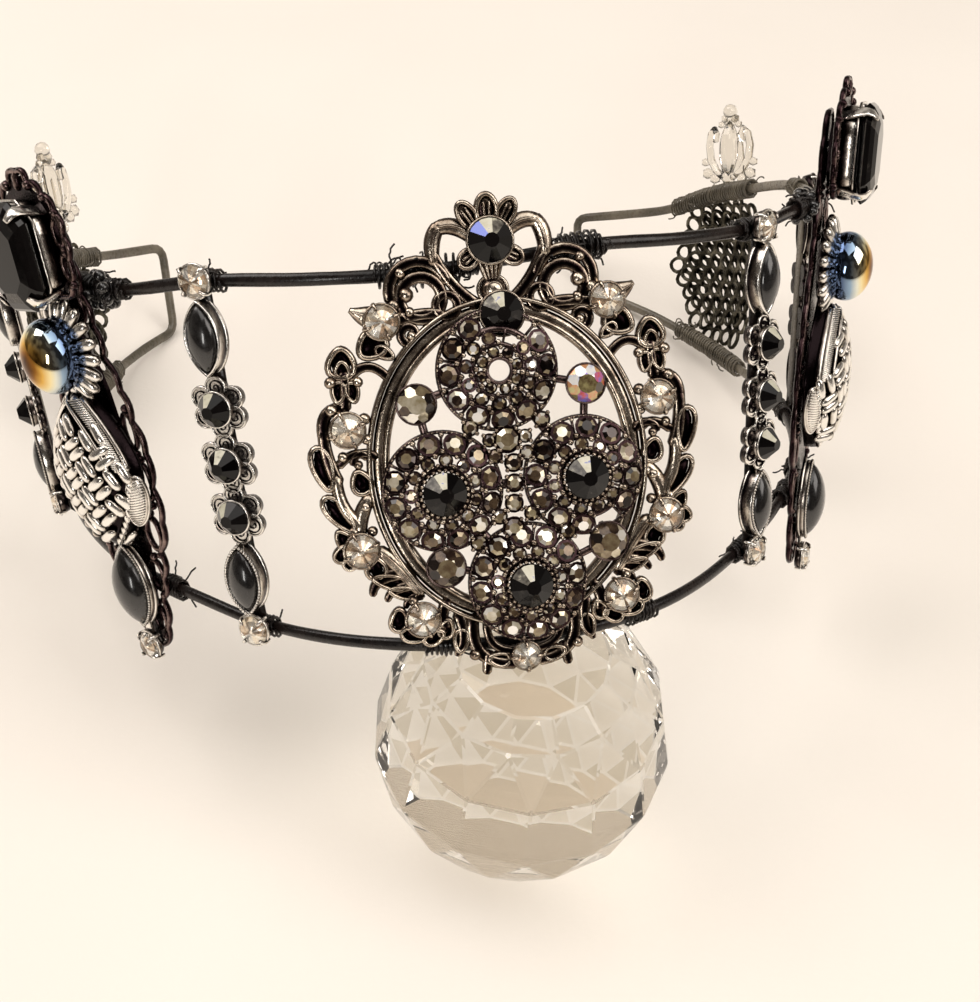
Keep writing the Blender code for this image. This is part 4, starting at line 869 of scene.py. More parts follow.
# Rows of small stones: count, distance from the middle, radius and twist. Rails: distance and width.
# Collars of grains round a filled middle: count, reach past it, radius, lift and twist.
rosette = {"radius": 9.5, "rise": 2.4, "back": 1.55, "plate": 1.0, "centre": 3.4, "centreRise": 3.2,
           "hole": 1.7, "rows": ((12, 7.75, 1.62, 0.0), (11, 5.15, 1.02, 0.13)),
           "openRow": ((8, 2.95, 0.85, 0.3),), "rails": ((9.38, 0.7), (6.35, 1.2), (4.05, 0.9)),
           "collars": ((30, 1.0, 0.36, 0.2, 0.0), (24, 0.25, 0.42, 0.75, 0.5)),
           "milgrain": 76, "edge": 9.38, "spokes": 12}
rosetteFront = rosette["back"] + rosette["plate"]
gemShades = (0.24, 0.36, 0.44, 0.52, 0.60)
accents = ((-14.0, 9.8, 0.62), (12.9, 10.3, 0.85), (-11.9, -16.3, 0.58), (14.5, -15.2, 0.52))
accentRadius = 3.0
links = ((0, 1), (0, 2), (1, 2), (1, 3), (2, 3))
accentLinks = ((0, 0), (0, 1), (1, 0), (1, 2), (2, 1), (2, 3), (3, 2), (3, 3))
linkStones = (
    (-0.4, 2.9, 2.0), (0.1, -4.1, 1.35), (-0.6, -11.2, 1.6), (0.3, -0.9, 1.35), (-0.2, -7.3, 1.35),
    (-6.0, 5.3, 1.2), (5.4, 5.4, 1.2), (-6.4, -12.9, 1.25), (8.0, -12.7, 1.25), (-2.5, 0.4, 1.1),
    (2.6, 0.5, 1.1), (-2.7, -9.2, 1.15), (2.5, -9.2, 1.15), (-3.2, 3.0, 1.0), (2.5, 3.1, 1.0))


def domeHeight(distance):
    return rosette["back"] + rosette["plate"] + rosette["rise"] * (1 - (distance / rosette["radius"]) ** 2)


def clearOfTop(x, y, room):
    top = highStones["top_stone"]
    return math.dist((x, y), top[:2]) > top[2] + 0.5 + room


def clearOfAccents(x, y, room):
    return all(math.dist((x, y), accent[:2]) > accentRadius + 0.25 + room for accent in accents)


def strap(bm, start, end, width, height, thick=0.9):
    path = [Vector((*start, height)).lerp(Vector((*end, height)), i / 3) for i in range(4)]
    addShape(bm, drawTube(path, width, thick, 8))


def along(start, end, distance):
    return tuple(Vector(start[:2]).lerp(Vector(end[:2]), distance / math.dist(start[:2], end[:2])))


def addGem(metal, gems, stone, place, shade, spread):
    for mesh in stone["setting"]:
        addShape(metal, mesh, place, keep=True)
    addShape(gems, stone["gem"], place @ Matrix.Scale(0.99, 4), shade, spread, keep=True)


def addRosetteRow(metal, gems, grains, stone, centre, turn, row):
    count, ring, radius, twist = row
    slope = math.atan(2 * rosette["rise"] * ring / rosette["radius"] ** 2)
    for i in range(count):
        angle = 2 * math.pi * (i + twist) / count + turn
        spot = centre + polar(ring, angle, domeHeight(ring) + 0.12)
        if not clearOfTop(spot.x, spot.y, radius * 0.6) or not clearOfAccents(spot.x, spot.y, radius * 0.7):
            continue
        place = standOn(spot, angle, slope, random.uniform(0.0, 0.7), radius)
        addGem(metal, gems, stone, place, random.choice(gemShades), 0.36)
        for side in (-0.5, 0.5):                           # grip beads between two stones
            bead = angle + 2 * math.pi * side / count
            for reach in (ring - radius * 0.72, ring + radius * 0.78):
                point = centre + polar(reach, bead, domeHeight(reach) + 0.25)
                if clearOfTop(point.x, point.y, 0.2):
                    addGrip(grains, stone["grain"], point, random.uniform(0.36, 0.62))


def addRosetteMiddle(metal, grains, grain, centre, filled):
    x, y, reach = centre.x, centre.y, rosette["centre"]
    if not filled:
        addRing(metal, rosette["hole"] + 0.2, domeHeight(0.0) - 0.2, 0.6, 1.2, 8, (x, y), 28)
        return
    addRing(metal, reach + 0.45, rosetteFront + 1.0, 1.0, 2.0, 10, (x, y), 36)
    addCup(metal, x, y, reach - 0.4, reach, rosetteFront, rosetteFront + 2.9, 28)
    for count, over, size, lift, twist in rosette["collars"]:
        far = reach + over
        for i in range(count):
            angle = 2 * math.pi * (i + twist) / count
            addGrip(grains, grain, centre + polar(far, angle, domeHeight(far) + lift), size)


def makeCluster():
    metal, gems, grains = startShape(), startShape(), startShape()
    collar = drawTube(ellipsePath(1.06, 1.06, 16), 0.20, 0.24, 5, closed=True)
    stone = {"gem": roundStone(8, 0.52, 40.0, 0.10, stars=False), "grain": ballShape(1.0, detail=1),
             "setting": (cupShape(0.86, 1.10, -1.0, 0.12, 14), collar)}
    edge = rosette["edge"]
    for index, (x, y, filled) in enumerate(rosettes):
        turn = 0.2 * index
        centre = Vector((x, y, 0.0))
        for row in rosette["rows"] + (() if filled else rosette["openRow"]):
            addRosetteRow(metal, gems, grains, stone, centre, turn, row)
        for i in range(rosette["milgrain"]):
            point = centre + polar(edge, 2 * math.pi * i / rosette["milgrain"], domeHeight(edge) + 0.05)
            if clearOfTop(point.x, point.y, 0.0):
                addGrip(grains, stone["grain"], point, 0.30)
        for reach, width in rosette["rails"]:
            addRing(metal, reach, domeHeight(reach) - 0.35, width, 1.0, 7, (x, y), 60)
        for i in range(rosette["spokes"]):
            angle = 2 * math.pi * (i + 0.5) / rosette["spokes"] + turn
            ends = [(x + reach * math.cos(angle), y + reach * math.sin(angle)) for reach in (3.9, 6.4, edge)]
            if clearOfTop(*ends[2], 0.3):
                strap(metal, ends[1], ends[2], 0.5, domeHeight(8.0) - 0.45)
            strap(metal, ends[0], ends[1], 0.45, domeHeight(5.2) - 0.45)
        addRosetteMiddle(metal, grains, stone["grain"], centre, filled)
    for first, second in links:
        start, end = rosettes[first], rosettes[second]
        strap(metal, along(start, end, 8.6), along(end, start, 8.6), 1.6, rosette["back"] + 0.6)
    for accent, index in accentLinks:
        start, end = accents[accent], rosettes[index]
        strap(metal, start[:2], along(end, start, 8.6), 1.3, rosette["back"] + 0.5)
    for x, y, _ in accents:
        addCup(metal, x, y, accentRadius * 0.85, accentRadius + 0.25, rosette["back"], rosetteFront + 0.6)
        addRing(metal, accentRadius + 0.12, rosetteFront + 0.65, 0.4, 0.45, 6, (x, y), 26)
    for x, y, radius in linkStones:
        addGem(metal, gems, stone, standOn((x, y, rosetteFront + 0.7), turn=0.4, size=radius), 0.5, 0.35)
        for i in range(4):
            corner = polar(radius + 0.2, math.pi / 4 + math.pi / 2 * i, rosetteFront + 0.8)
            addGrip(grains, stone["grain"], Vector((x, y, 0.0)) + corner, 0.42)
    place = local(medallionPlace)
    finishPiece("rosette_frames", metal, "cherryBlack", ["rosette_cluster"], place)
    finishPiece("rosette_gems", gems, "hematite", (), place)
    finishPiece("rosette_grains", grains, "gunmetal", (), place)
    print("rosettes set")


# Clear stone over its foil, a low cone of narrow wedges, each of its own shade.
clearCut = {"mains": 8, "table": 0.56, "tilt": 34.0, "depth": 0.06, "lift": 0.08,
            "wedges": 18, "foilSize": 0.94, "foilShade": 0.58, "foilSpread": 0.42}


def setClear(clear, foil, spot, turn, radius):
    place = standOn(spot, turn=turn, size=radius)
    cone = startShape()
    bmesh.ops.create_cone(cone, cap_ends=True, segments=clearCut["wedges"], radius1=0.98, radius2=0.12,
                          depth=0.40)
    bmesh.ops.translate(cone, vec=(0.0, 0.0, 0.08), verts=cone.verts)
    addShape(foil, closeShape(cone), place @ Matrix.Scale(clearCut["foilSize"], 4), clearCut["foilShade"],
             clearCut["foilSpread"])
    brilliant = roundStone(*(clearCut[key] for key in ("mains", "table", "tilt", "depth")))
    addShape(clear, brilliant, place @ Matrix.Translation((0.0, 0.0, clearCut["lift"])))


def makeMedallionStones():
    clear, foil, black, smoky, bright = (startShape() for _ in range(5))
    spots = [(side * x, y, clearStone["radius"]) for x, y in borderStones for side in (-1, 1)] + [bottomStone]
    for x, y, radius in spots:
        setClear(clear, foil, (x, y, clearStone["seat"]), random.uniform(0, 0.7), radius)
    deep = roundStone(10, 0.34, 42.0, 0.10, stars=False)
    seat = rosetteFront + rosette["centreRise"] + 0.2
    # The last value of each row holds the painted highlights for the facets turned to the lamps.
    middles = [(x, y, rosette["centre"], seat, (0.86, 0.72)) for x, y, filled in rosettes if filled]
    middles += [(*highStones["top_stone"], highCup + 0.3, (0.86, 0.72)),
                (*highStones["finial_stone"], highCup + 0.3, (0.86, 1.1, 0.72))]
    for x, y, radius, height, paintedGlints in middles:
        place = standOn((x, y, height), turn=0.3, size=radius)
        addShape(black, deep, place, 0.24, 0.24, keep=True, paintedGlints=paintedGlints)
    wide = roundStone(8, 0.50, 38.0, 0.10)
    for x, y, shade in accents:
        place = standOn((x, y, rosetteFront + 0.75), turn=0.2, size=accentRadius)
        addShape(bright if shade > 0.8 else smoky, wide, place, 0.50, 0.40, keep=True)
    blacks = ["rosette_stone_1", "rosette_stone_2", "rosette_stone_3", "top_stone", "finial_stone"]
    for name, bm, finish, nodes in (
            ("border_foils", foil, "clearFoil", ()),
            ("border_clears", clear, "crystal", [f"border_stone_{i}" for i in range(1, 10)]),
            ("medallion_blacks", black, "blackStone", blacks),
            ("medallion_smokies", smoky, "hematite", [f"accent_stone_{i}" for i in range(1, 5)]),
            ("medallion_rainbow", bright, "rainbow", ())):
        finishPiece(name, bm, finish, nodes, local(medallionPlace))
    print("medallion stones set")


# Bars between the wires: azimuth, sideways shift of the flowers, and where each jewel sits
# (0 lower wire, 1 upper).
bars = {
    "left": {"azimuth": -35.2, "shift": 0.2, "node": "front_bar_left", "stones": "bar_left_",
             "front": True},
    "right": {"azimuth": 35.2, "shift": 1.2, "node": "front_bar_right", "stones": "bar_right_",
              "front": True},
    "rearLeft": {"azimuth": -83.0, "shift": 0.0, "node": "rear_bar_left", "front": False},
    "rearRight": {"azimuth": 82.0, "shift": 0.0, "node": "rear_bar_right", "front": False},
}
barJewels = {True: {"clears": (1.01, 0.004), "navettes": (0.857, 0.162), "flowers": (0.662, 0.502, 0.351)},
             False: {"clears": (1.0, 0.0), "navettes": (0.82, 0.18), "flowers": (0.595, 0.405)}}
bar = {"back": 1.15, "front": 2.05, "width": 3.6, "lobes": 6, "lobeRadius": 2.0, "lobeReach": 3.3,
       "stone": 2.85, "navette": (2.75, 5.6), "domeRise": 1.9}
# Bezels of long stones: points per side, rings (steps off the half sizes, height, width, thickness)
# and their row of grains (steps, points per side, height, radius).
bezels = {"bar": {"points": 14, "rings": (((0.35, 0.5), 2.9, 0.55, 2.9), ((0.55, 0.9), 1.75, 0.7, 0.6)),
                  "grains": ((0.42, 0.62), 26, 4.3, 0.34)},
          "ornament": {"points": 18, "rings": (((0.25, 0.35), 2.45, 0.6, 2.0), ((0.55, 0.75), 1.9, 0.7, 0.8)),
                       "grains": ((0.42, 0.55), 34, 3.25, 0.36)}}
spiral = {"steps": 25, "turns": 1.8, "rise": -0.9}


def barPlacing(azimuth):
    low, high = onWire(lowerWire, azimuth), onWire(upperWire, azimuth)
    span = high - low
    lean = math.degrees(math.atan2(span.dot(outwardAt(azimuth)), span.z))
    return placing(low, azimuth, lean), span.length

def spinArc(bm, arc, edges, steps):
    bmesh.ops.spin(bm, geom=arc + edges, cent=(0, 0, 0), axis=(0, 1, 0), angle=2 * math.pi, steps=steps,
                   use_merge=True)
    bmesh.ops.remove_doubles(bm, verts=bm.verts, dist=1e-4)


def spindleStone(halfWidth, halfLength, height, wall=0.4, steps=14):
    bm = startShape()
    radius = (halfLength ** 2 + halfWidth ** 2) / (2 * halfWidth)
    reach = math.asin(halfLength / radius)
    arc = []
    for i in range(steps + 1):
        angle = -reach + 2 * reach * i / steps
        x = max(0.0, radius * math.cos(angle) - radius + halfWidth)
        arc.append(bm.verts.new((x if 0 < i < steps else 0.0, radius * math.sin(angle), 0.0)))
    edges = [bm.edges.new(pair) for pair in zip(arc, arc[1:])]
    spinArc(bm, arc, edges, 28)
    bmesh.ops.scale(bm, vec=(1.0, 1.0, height / halfWidth), verts=bm.verts)
    cutFlat(bm, (0.0, 0.0, -1.0), 0.0)
    base = [face for face in bm.faces
            if abs(face.normal.z) > 0.99 and all(abs(vertex.co.z) < 1e-4 for vertex in face.verts)]
    fresh = newVertices(bmesh.ops.extrude_face_region(bm, geom=base))
    bmesh.ops.translate(bm, vec=(0.0, 0.0, -wall), verts=fresh)
    bmesh.ops.delete(bm, geom=[face for face in base if face.is_valid], context="FACES_ONLY")
    return closeShape(bm, range(3, 6))


def addSpiral(bm, x, y, height, size, turn, side):
    path, widths = [], []
    for i in range(spiral["steps"] + 1):
        part = i / spiral["steps"]
        reach = size * (0.80 - 0.68 * part)
        angle = turn + side * part * 2 * math.pi * spiral["turns"]
        path.append(Vector((x + reach * math.cos(angle), y + reach * math.sin(angle), height)))
        widths.append(0.24 - 0.06 * part)
    line = drawTube(path, widths, 0.5, 6)
    line.attributes["rise"].data.foreach_set("value", [spiral["rise"]] * len(line.vertices))
    addShape(bm, line)


def addFlower(bm, x, y, base, top):
    size, reach, stone = bar["lobeRadius"], bar["lobeReach"], bar["stone"]
    for i in range(bar["lobes"]):
        angle = 2 * math.pi * (i + 0.5) / bar["lobes"]
        cx, cy = x + reach * math.cos(angle), y + reach * math.sin(angle)
        addCup(bm, cx, cy, size * 0.86, size * 0.95, base, top - 0.18, 18, 0.75)
        addRing(bm, size * 0.92, top - 0.3, 0.42, 0.75, 7, (cx, cy), 22)
        addSpiral(bm, cx, cy, top - 0.12, size, angle + math.pi, 1.0 if i % 2 else -1.0)
    addCup(bm, x, y, stone * 0.9, stone + 0.22, base, top + 1.1, 20)
    addRing(bm, stone + 0.12, top + 1.1, 0.42, 0.5, 7, (x, y), 26)


def addBezel(bm, y, size, look, milled=True):
    for more, height, width, thick in look["rings"]:
        path = navettePath(size[0] + more[0], size[1] + more[1], look["points"], (0.0, y), height)
        addShape(bm, drawTube(path, width, thick, 8, closed=True))
    if milled:
        more, points, height, radius = look["grains"]
        grain = ballShape(1.0, detail=1)
        for point in navettePath(size[0] + more[0], size[1] + more[1], points, (0.0, y), height):
            addGrip(bm, grain, point, radius)
        bpy.data.meshes.remove(grain)


def makeBar(side, row):
    place, length = barPlacing(row["azimuth"])
    jewels = barJewels[row["front"]]
    strip, metal, clear, foil, black, domes = (startShape() for _ in range(6))
    back, front, shift = bar["back"], bar["front"], row["shift"]
    spine = [Vector((0.0, -1.4 + (length + 2.8) * i / 16, (back + front) / 2)) for i in range(17)]
    widths = [bar["width"] * (1 + 0.05 * math.sin(2.3 * i)) for i in range(17)]
    addShape(strip, drawTube(spine, widths, 0.9, 12, blunt=0.1))
    for part in jewels["clears"]:
        addPronged(metal, 0.0, part * length, clearStone["radius"], front + 1.3, back + 0.3)
        setClear(clear, foil, (0.0, part * length, front + 1.55), 0.3, clearStone["radius"])
    for i, part in enumerate(jewels["navettes"]):
        addBezel(metal, part * length, bar["navette"], bezels["bar"], milled=i == 1)
        stand = Matrix.Translation((0.0, part * length, front + 1.9))
        addShape(domes, spindleStone(*bar["navette"], bar["domeRise"]), stand, 0.4, 0.1)
    deep = roundStone(9, 0.36, 42.0, 0.10, stars=False)
    for part in jewels["flowers"]:
        addFlower(metal, shift, part * length, back + 0.35, front + 0.9)
        stand = standOn((shift, part * length, front + 2.3), turn=0.2 + part, size=bar["stone"])
        # Each round black stone gets one painted highlight on the facet turned to the lamps.
        addShape(black, deep, stand @ Matrix.Diagonal((1.0, 1.0, 1.25, 1.0)), 0.20, 0.20, keep=True,
                 paintedGlints=(0.84,))
    for kind, bm, finish, nodes in (
            ("strip", strip, "blackWire", ()), ("settings", metal, "silver", [row["node"]]),
            ("foils", foil, "clearFoil", ()), ("clears", clear, "crystal", ("clear_1", "clear_2")),
            ("navettes", domes, "cabochon", ("navette_1", "navette_2")),
            ("rounds", black, "blackStone", ("round_1", "round_2", "round_3"))):
        if isinstance(nodes, tuple):                       # the rear bars' stones are part of the bar
            nodes = [row["stones"] + node for node in nodes] if row["front"] else ()
        finishPiece(f"bar_{kind}_{side}", bm, finish, nodes, local(place))
    print("bar", side, "set")


# Side ornaments. "left" is the viewer's left.
ornaments = {
    "left": {"azimuth": -55.0, "lean": 2.2, "stretch": 0.93, "octagonY": 37.5, "lowY": -23.8},
    "right": {"azimuth": 56.2, "lean": 0.6, "stretch": 1.0, "octagonY": 41.0, "lowY": -26.2},
}
ornament = {"mid": 30.0, "octagon": (6.5, 9.0), "corner": 3.4, "basket": 5.2, "beadY": 20.2,
            "beadHalf": (5.4, 6.5, 4.8), "cabochon": (3.9, 7.4), "cabochonRise": 2.9, "bezel": 1.5}
plateTop = 1.5
# Backplate: height and half width of the edge, then x, y, half width and half height of its holes.
plateEdge = (
    (-40.0, 1.2), (-35.0, 4.4), (-29.0, 5.2), (-24.0, 7.4), (-18.5, 8.6), (-12.0, 11.4),
    (-5.0, 11.2), (2.0, 12.0), (8.0, 10.4), (14.0, 9.4), (20.0, 7.0), (26.0, 6.4), (31.5, 5.4),
    (38.0, 5.2), (44.0, 4.4), (49.0, 1.6))
plateHoles = (
    (2.2, -33.4, 1.1, 2.0), (5.0, -23.6, 1.3, 2.4), (7.4, -14.6, 1.4, 2.6), (9.0, -4.0, 1.2, 2.9),
    (8.4, 6.0, 1.2, 2.8), (2.9, 29.4, 1.1, 2.4), (2.7, 38.6, 1.1, 2.6))
# Lace back of the octagon, above its middle, and its holes, then where it stands over the plate.
octagonBack = (
    (-8.2, 5.6), (-5.8, 8.1), (-2.0, 9.3), (2.5, 9.5), (6.5, 8.7), (9.6, 6.2), (11.6, 3.0),
    (13.6, 0.8))
octagonBackHoles = ((7.9, -2.6, 0.75, 1.7), (7.9, 2.9, 0.75, 1.9))
octagonBackAt = 1.9
leaf = {"y": -1.0, "half": (10.6, 14.2), "rise": 5.6, "base": 1.0, "cell": 3.95, "turn": 28.0,
        "lobe": (2.1, 4.9, 0.9), "lobeAt": (9.6, -5.0, 2.0)}
octagonSteps = ((1.0, 1.15, 0.93, 1.95), (0.93, 1.95, 0.80, 2.65), (0.80, 2.65, 0.60, 3.2),
                (0.84, -0.4, 1.0, 0.95), (0.52, -3.0, 0.84, -0.4))
basketClaw = {"parts": (0.0, 0.33, 0.66, 1.0), "tip": ((0.45, 1.3), (0.1, 2.15), (-0.8, 2.75)),
              "widths": (3.1, 3.0, 2.9, 2.8, 2.5, 2.1, 1.5)}


def ornamentPlacing(row):
    low, high = onWire(lowerWire, row["azimuth"]), onWire(upperWire, row["azimuth"])
    outward = outwardAt(row["azimuth"])
    wallLean = math.degrees(math.atan2((high - low).dot(outward), high.z - low.z))
    part = (ornament["mid"] - low.z) / (high.z - low.z)
    stand = 1.15 + math.tan(math.radians(row["lean"])) * (ornament["mid"] - low.z)
    return placing(low.lerp(high, part) + outward * stand, row["azimuth"], wallLean + row["lean"])


def leafWidth(y):
    part = (y - leaf["y"]) / leaf["half"][1]
    return leaf["half"][0] * (0.12 + 0.88 * (1 - min(1.0, abs(part)) ** 1.7))


def leafTop(x, y):
    part = (y - leaf["y"]) / leaf["half"][1]
    across = min(1.0, abs(x) / leafWidth(y))
    swell = math.sqrt(1 - across ** 2) * math.sqrt(max(0.0, 1 - 0.86 * part ** 2))
    return plateTop + leaf["base"] + leaf["rise"] * swell


def onLeaf(x, y, angle, lift):
    step = 0.25
    slopeX = (leafTop(x + step, y) - leafTop(x - step, y)) / (2 * step)
    slopeY = (leafTop(x, y + step) - leafTop(x, y - step)) / (2 * step)
    up = Vector((-max(-1.6, min(1.6, slopeX)), -max(-1.6, min(1.6, slopeY)), 1.0)).normalized()
    ahead = Vector((math.cos(angle), math.sin(angle), 0.0))
    ahead = (ahead - up * ahead.dot(up)).normalized()
    place = Matrix((ahead, up.cross(ahead), up)).transposed().to_4x4()
    place.translation = Vector((x, y, leafTop(x, y))) + up * lift
    return place


def leafTangent(y, side):
    return math.atan2(0.6, side * (leafWidth(y + 0.6) - leafWidth(y)))


def padShape(length, width, height):
    bm = startShape()
    bmesh.ops.create_uvsphere(bm, u_segments=10, v_segments=7, radius=1.0)
    bmesh.ops.rotate(bm, matrix=Matrix.Rotation(math.pi / 2, 3, "Y"), verts=bm.verts)
    for vertex in bm.verts:
        vertex.co.x = math.copysign(abs(vertex.co.x) ** 0.6, vertex.co.x)
    markRise(bm)
    bmesh.ops.scale(bm, vec=(length, width, height), verts=bm.verts)
    return closeShape(bm, anyCorners)


def leafBody():
    body = startShape()
    bmesh.ops.create_grid(body, x_segments=22, y_segments=26, size=1.0)
    for vertex in body.verts:
        y = leaf["y"] + leaf["half"][1] * vertex.co.y
        x = leafWidth(y) * vertex.co.x
        vertex.co = Vector((x, y, leafTop(x, y) - 0.45))
    setRise(body, lambda spot: -0.8)
    edge = [item for item in body.edges if item.is_boundary]
    for vertex in newVertices(bmesh.ops.extrude_edge_only(body, edges=edge)):
        vertex.co.z = plateTop
    bmesh.ops.contextual_create(body, geom=[item for item in body.edges if item.is_boundary])
    return closeShape(body, anyCorners)


def addWeave(bm, strand):
    cell, turn = leaf["cell"], math.radians(leaf["turn"])
    for row in range(-6, 7):
        for column in range(-6, 7):
            u, v = column * cell, row * cell
            x = u * math.cos(turn) - v * math.sin(turn)
            y = leaf["y"] + u * math.sin(turn) + v * math.cos(turn)
            room = 2.3 if y > leaf["y"] + 1.0 else 0.9
            if abs(y - leaf["y"]) > leaf["half"][1] - 0.9 or abs(x) > leafWidth(y) - room:
                continue
            angle = turn + (math.pi / 2 if (row + column) % 2 else 0.0)
            for k in (-0.5, 0.5):
                off = k * cell * 0.49
                place = onLeaf(x - off * math.sin(angle), y + off * math.cos(angle), angle, 0.05)
                addShape(bm, strand, place, keep=True)


# A ribbed strip between two smooth rails runs down an upper edge to the widest point.
def addLeafRail(bm, side, rib):
    inner, strip, outer = [], [], []
    for i in range(19):
        y = leaf["y"] + 1.2 + 12.0 * i / 18
        reach = leafWidth(y)
        for path, stand, measured, lift in ((inner, 2.5, 2.5, 0.35), (strip, 1.3, 1.3, 0.05),
                                            (outer, 0.1, 0.5, -0.1)):
            path.append(Vector((side * (reach - stand), y, leafTop(side * (reach - measured), y) + lift)))
    addShape(bm, drawTube(inner, 0.75, 0.75, 8))
    addShape(bm, drawTube(strip, 1.9, 0.5, 8, up=(side * 0.6, 0.0, 0.8)))
    addShape(bm, drawTube(outer, 0.9, 1.1, 8))
    for i in range(34):
        y = leaf["y"] + 1.4 + 11.6 * i / 33
        place = onLeaf(side * (leafWidth(y) - 1.3), y, leafTangent(y, side) + side * 1.15, 0.3)
        addShape(bm, rib, place, keep=True)


# A ribbed oval lobe hangs beside the lower half.
def addLobe(bm, side):
    x, y, lift = leaf["lobeAt"]
    halfWidth, halfLength, _ = leaf["lobe"]
    lean = (Matrix.Translation((side * x, leaf["y"] + y, plateTop + lift))
            @ Matrix.Rotation(side * -0.30, 4, "Z") @ Matrix.Rotation(side * 0.55, 4, "Y"))
    addShape(bm, ballShape(1.0, leaf["lobe"], 3), lean)
    for i in range(17):
        part = -0.92 + 1.84 * i / 16
        half = 2.0 * math.sqrt(1 - part ** 2)
        spot = lean @ Matrix.Translation((0.0, 4.6 * part, 0.72 * math.sqrt(1 - 0.9 * part ** 2)))
        addShape(bm, padShape(max(0.3, half * 0.94), 0.16, 0.30), spot @ Matrix.Rotation(side * 0.35, 4, "Z"))
    rim = [lean @ point for point in ellipsePath(halfWidth, halfLength, 30)]
    addShape(bm, drawTube(rim, 0.45, 0.6, 7, closed=True))


def makeLeaf(bm):
    addShape(bm, leafBody())
    strand = padShape(leaf["cell"] * 0.56, leaf["cell"] * 0.25, 0.82)
    rib, rope = padShape(1.15, 0.17, 0.30), padShape(1.15, 0.50, 0.55)
    addWeave(bm, strand)
    for side in (-1.0, 1.0):
        addLeafRail(bm, side, rib)
        for i in range(11):                                # rope round the lower edges
            y = leaf["y"] - 1.0 - 12.0 * i / 10
            place = onLeaf(side * (leafWidth(y) - 0.6), y, leafTangent(y, side) + side * 0.7, 0.15)
            addShape(bm, rope, place, keep=True)
        addLobe(bm, side)
    for mesh in (strand, rib, rope):
        bpy.data.meshes.remove(mesh)


# Fat flutes fan out under the bead, with dark gaps between them.
def addBeadCup(bm, count=18):
    half = ornament["beadHalf"]
    cup = cupShape(5.4, 6.4, plateTop, plateTop + 1.9, 30, -0.7)
    middle = Matrix.Translation((0.0, ornament["beadY"], 0.0))
    addShape(bm, cup, middle @ Matrix.Diagonal((1.0, 1.2, 1.0, 1.0)))
    flute = padShape(2.2, 1.18, 1.0)
    for i in range(count):
        angle = 2 * math.pi * (i + 0.5) / count
        spot = ((half[0] + 0.9) * math.cos(angle), ornament["beadY"] + (half[1] + 0.9) * math.sin(angle),
                plateTop + 1.7)
        addShape(bm, flute, standOn(spot, angle, 0.30), keep=True)
    bpy.data.meshes.remove(flute)


def octagonDiagonal():
    return (sum(ornament["octagon"]) - ornament["corner"]) / math.sqrt(2)


def octagonBlock(low, high, scale=1.0):
    bm = startShape()
    half = ornament["octagon"]
    bmesh.ops.create_cube(bm, size=2.0)
    bmesh.ops.scale(bm, vec=(half[0] * scale, half[1] * scale, (high - low) / 2), verts=bm.verts)
    bmesh.ops.translate(bm, vec=(0.0, 0.0, (high + low) / 2), verts=bm.verts)
    for x in (-1, 1):
        for y in (-1, 1):
            cutFlat(bm, (x, y, 0.0), octagonDiagonal() * scale)
    return bm


def octagonStone():
    bm = octagonBlock(-3.0, 3.2)
    half, cut = ornament["octagon"], 1 / math.sqrt(2)
    sides = [((1, 0), half[0]), ((-1, 0), half[0]), ((0, 1), half[1]), ((0, -1), half[1])]
    sides += [((x * cut, y * cut), octagonDiagonal()) for x in (-1, 1) for y in (-1, 1)]
    for scaleA, lowA, scaleB, lowB in octagonSteps:
        for (x, y), reach in sides:
            out, over = lowB - lowA, (scaleA - scaleB) * reach
            distance = (out * scaleA * reach + over * lowA) / math.hypot(out, over)
            cutFlat(bm, (x * out, y * out, over), distance)
    return closeShape(bm)


def octagonPath(scale, height, centre, perSide=4):
    half, corner = ornament["octagon"], ornament["corner"]
    quarter = [(half[0], half[1] - corner), (half[0] - corner, half[1])]
    loop = (quarter + [(-x, y) for x, y in reversed(quarter)] + [(-x, -y) for x, y in quarter]
            + [(x, -y) for x, y in reversed(quarter)])
    path = []
    for i, (x, y) in enumerate(loop):
        after = loop[(i + 1) % 8]
        for k in range(perSide):
            part = k / perSide
            path.append(Vector((scale * (x + (after[0] - x) * part),
                                centre + scale * (y + (after[1] - y) * part), height)))
    return path


# Claw setting: a smooth band low down, a thin rail at the girdle and four broad corner claws. Its sides
# stay open, and the stone's lower half shows in them.
def makeBasket(bm, y):
    low, top = plateTop + octagonBackAt, plateTop + ornament["basket"]
    foot = octagonBlock(plateTop, low + 0.3, 0.60)
    setRise(foot, lambda spot: -0.5)
    addShape(bm, closeShape(foot), Matrix.Translation((0.0, y, 0.0)))
    for scale, height, width, thick, sides in ((0.90, (low + top) / 2, 0.7, top - low - 0.5, 10),
                                               (0.985, top - 0.1, 0.6, 0.55, 8)):
        addShape(bm, drawTube(octagonPath(scale, height, y, 5), width, thick, sides, closed=True))
    feet, heads = octagonPath(0.88, low + 0.2, y, 2), octagonPath(0.985, top + 0.2, y, 2)
    for start, head in list(zip(feet, heads))[1::4]:       # middle of each cut corner
        out = Vector((head.x, head.y - y, 0.0)).normalized()
        path = [start.lerp(head, part) + out * 0.3 for part in basketClaw["parts"]]
        path += [head + out * over + rising(lift) for over, lift in basketClaw["tip"]]
        addShape(bm, drawTube(path, basketClaw["widths"], 0.6, 10, up=out))


def scallops(edge, centreY, stretch, height):
    right = [Vector((half, centreY + y * stretch, height)) for y, half in edge]
    path = []
    for low, high in zip(right, right[1:]):
        out = (high - low).cross(Vector((0.0, 0.0, 1.0))).normalized()
        for k in range(6):
            part = k / 6
            path.append(low.lerp(high, part) + out * (1.05 * math.sin(math.pi * part) - 0.75))
    path.append(right[-1] - Vector((0.0, 0.7, 0.0)))
    return path + [Vector((-point.x, point.y, point.z)) for point in reversed(path[1:-1])]


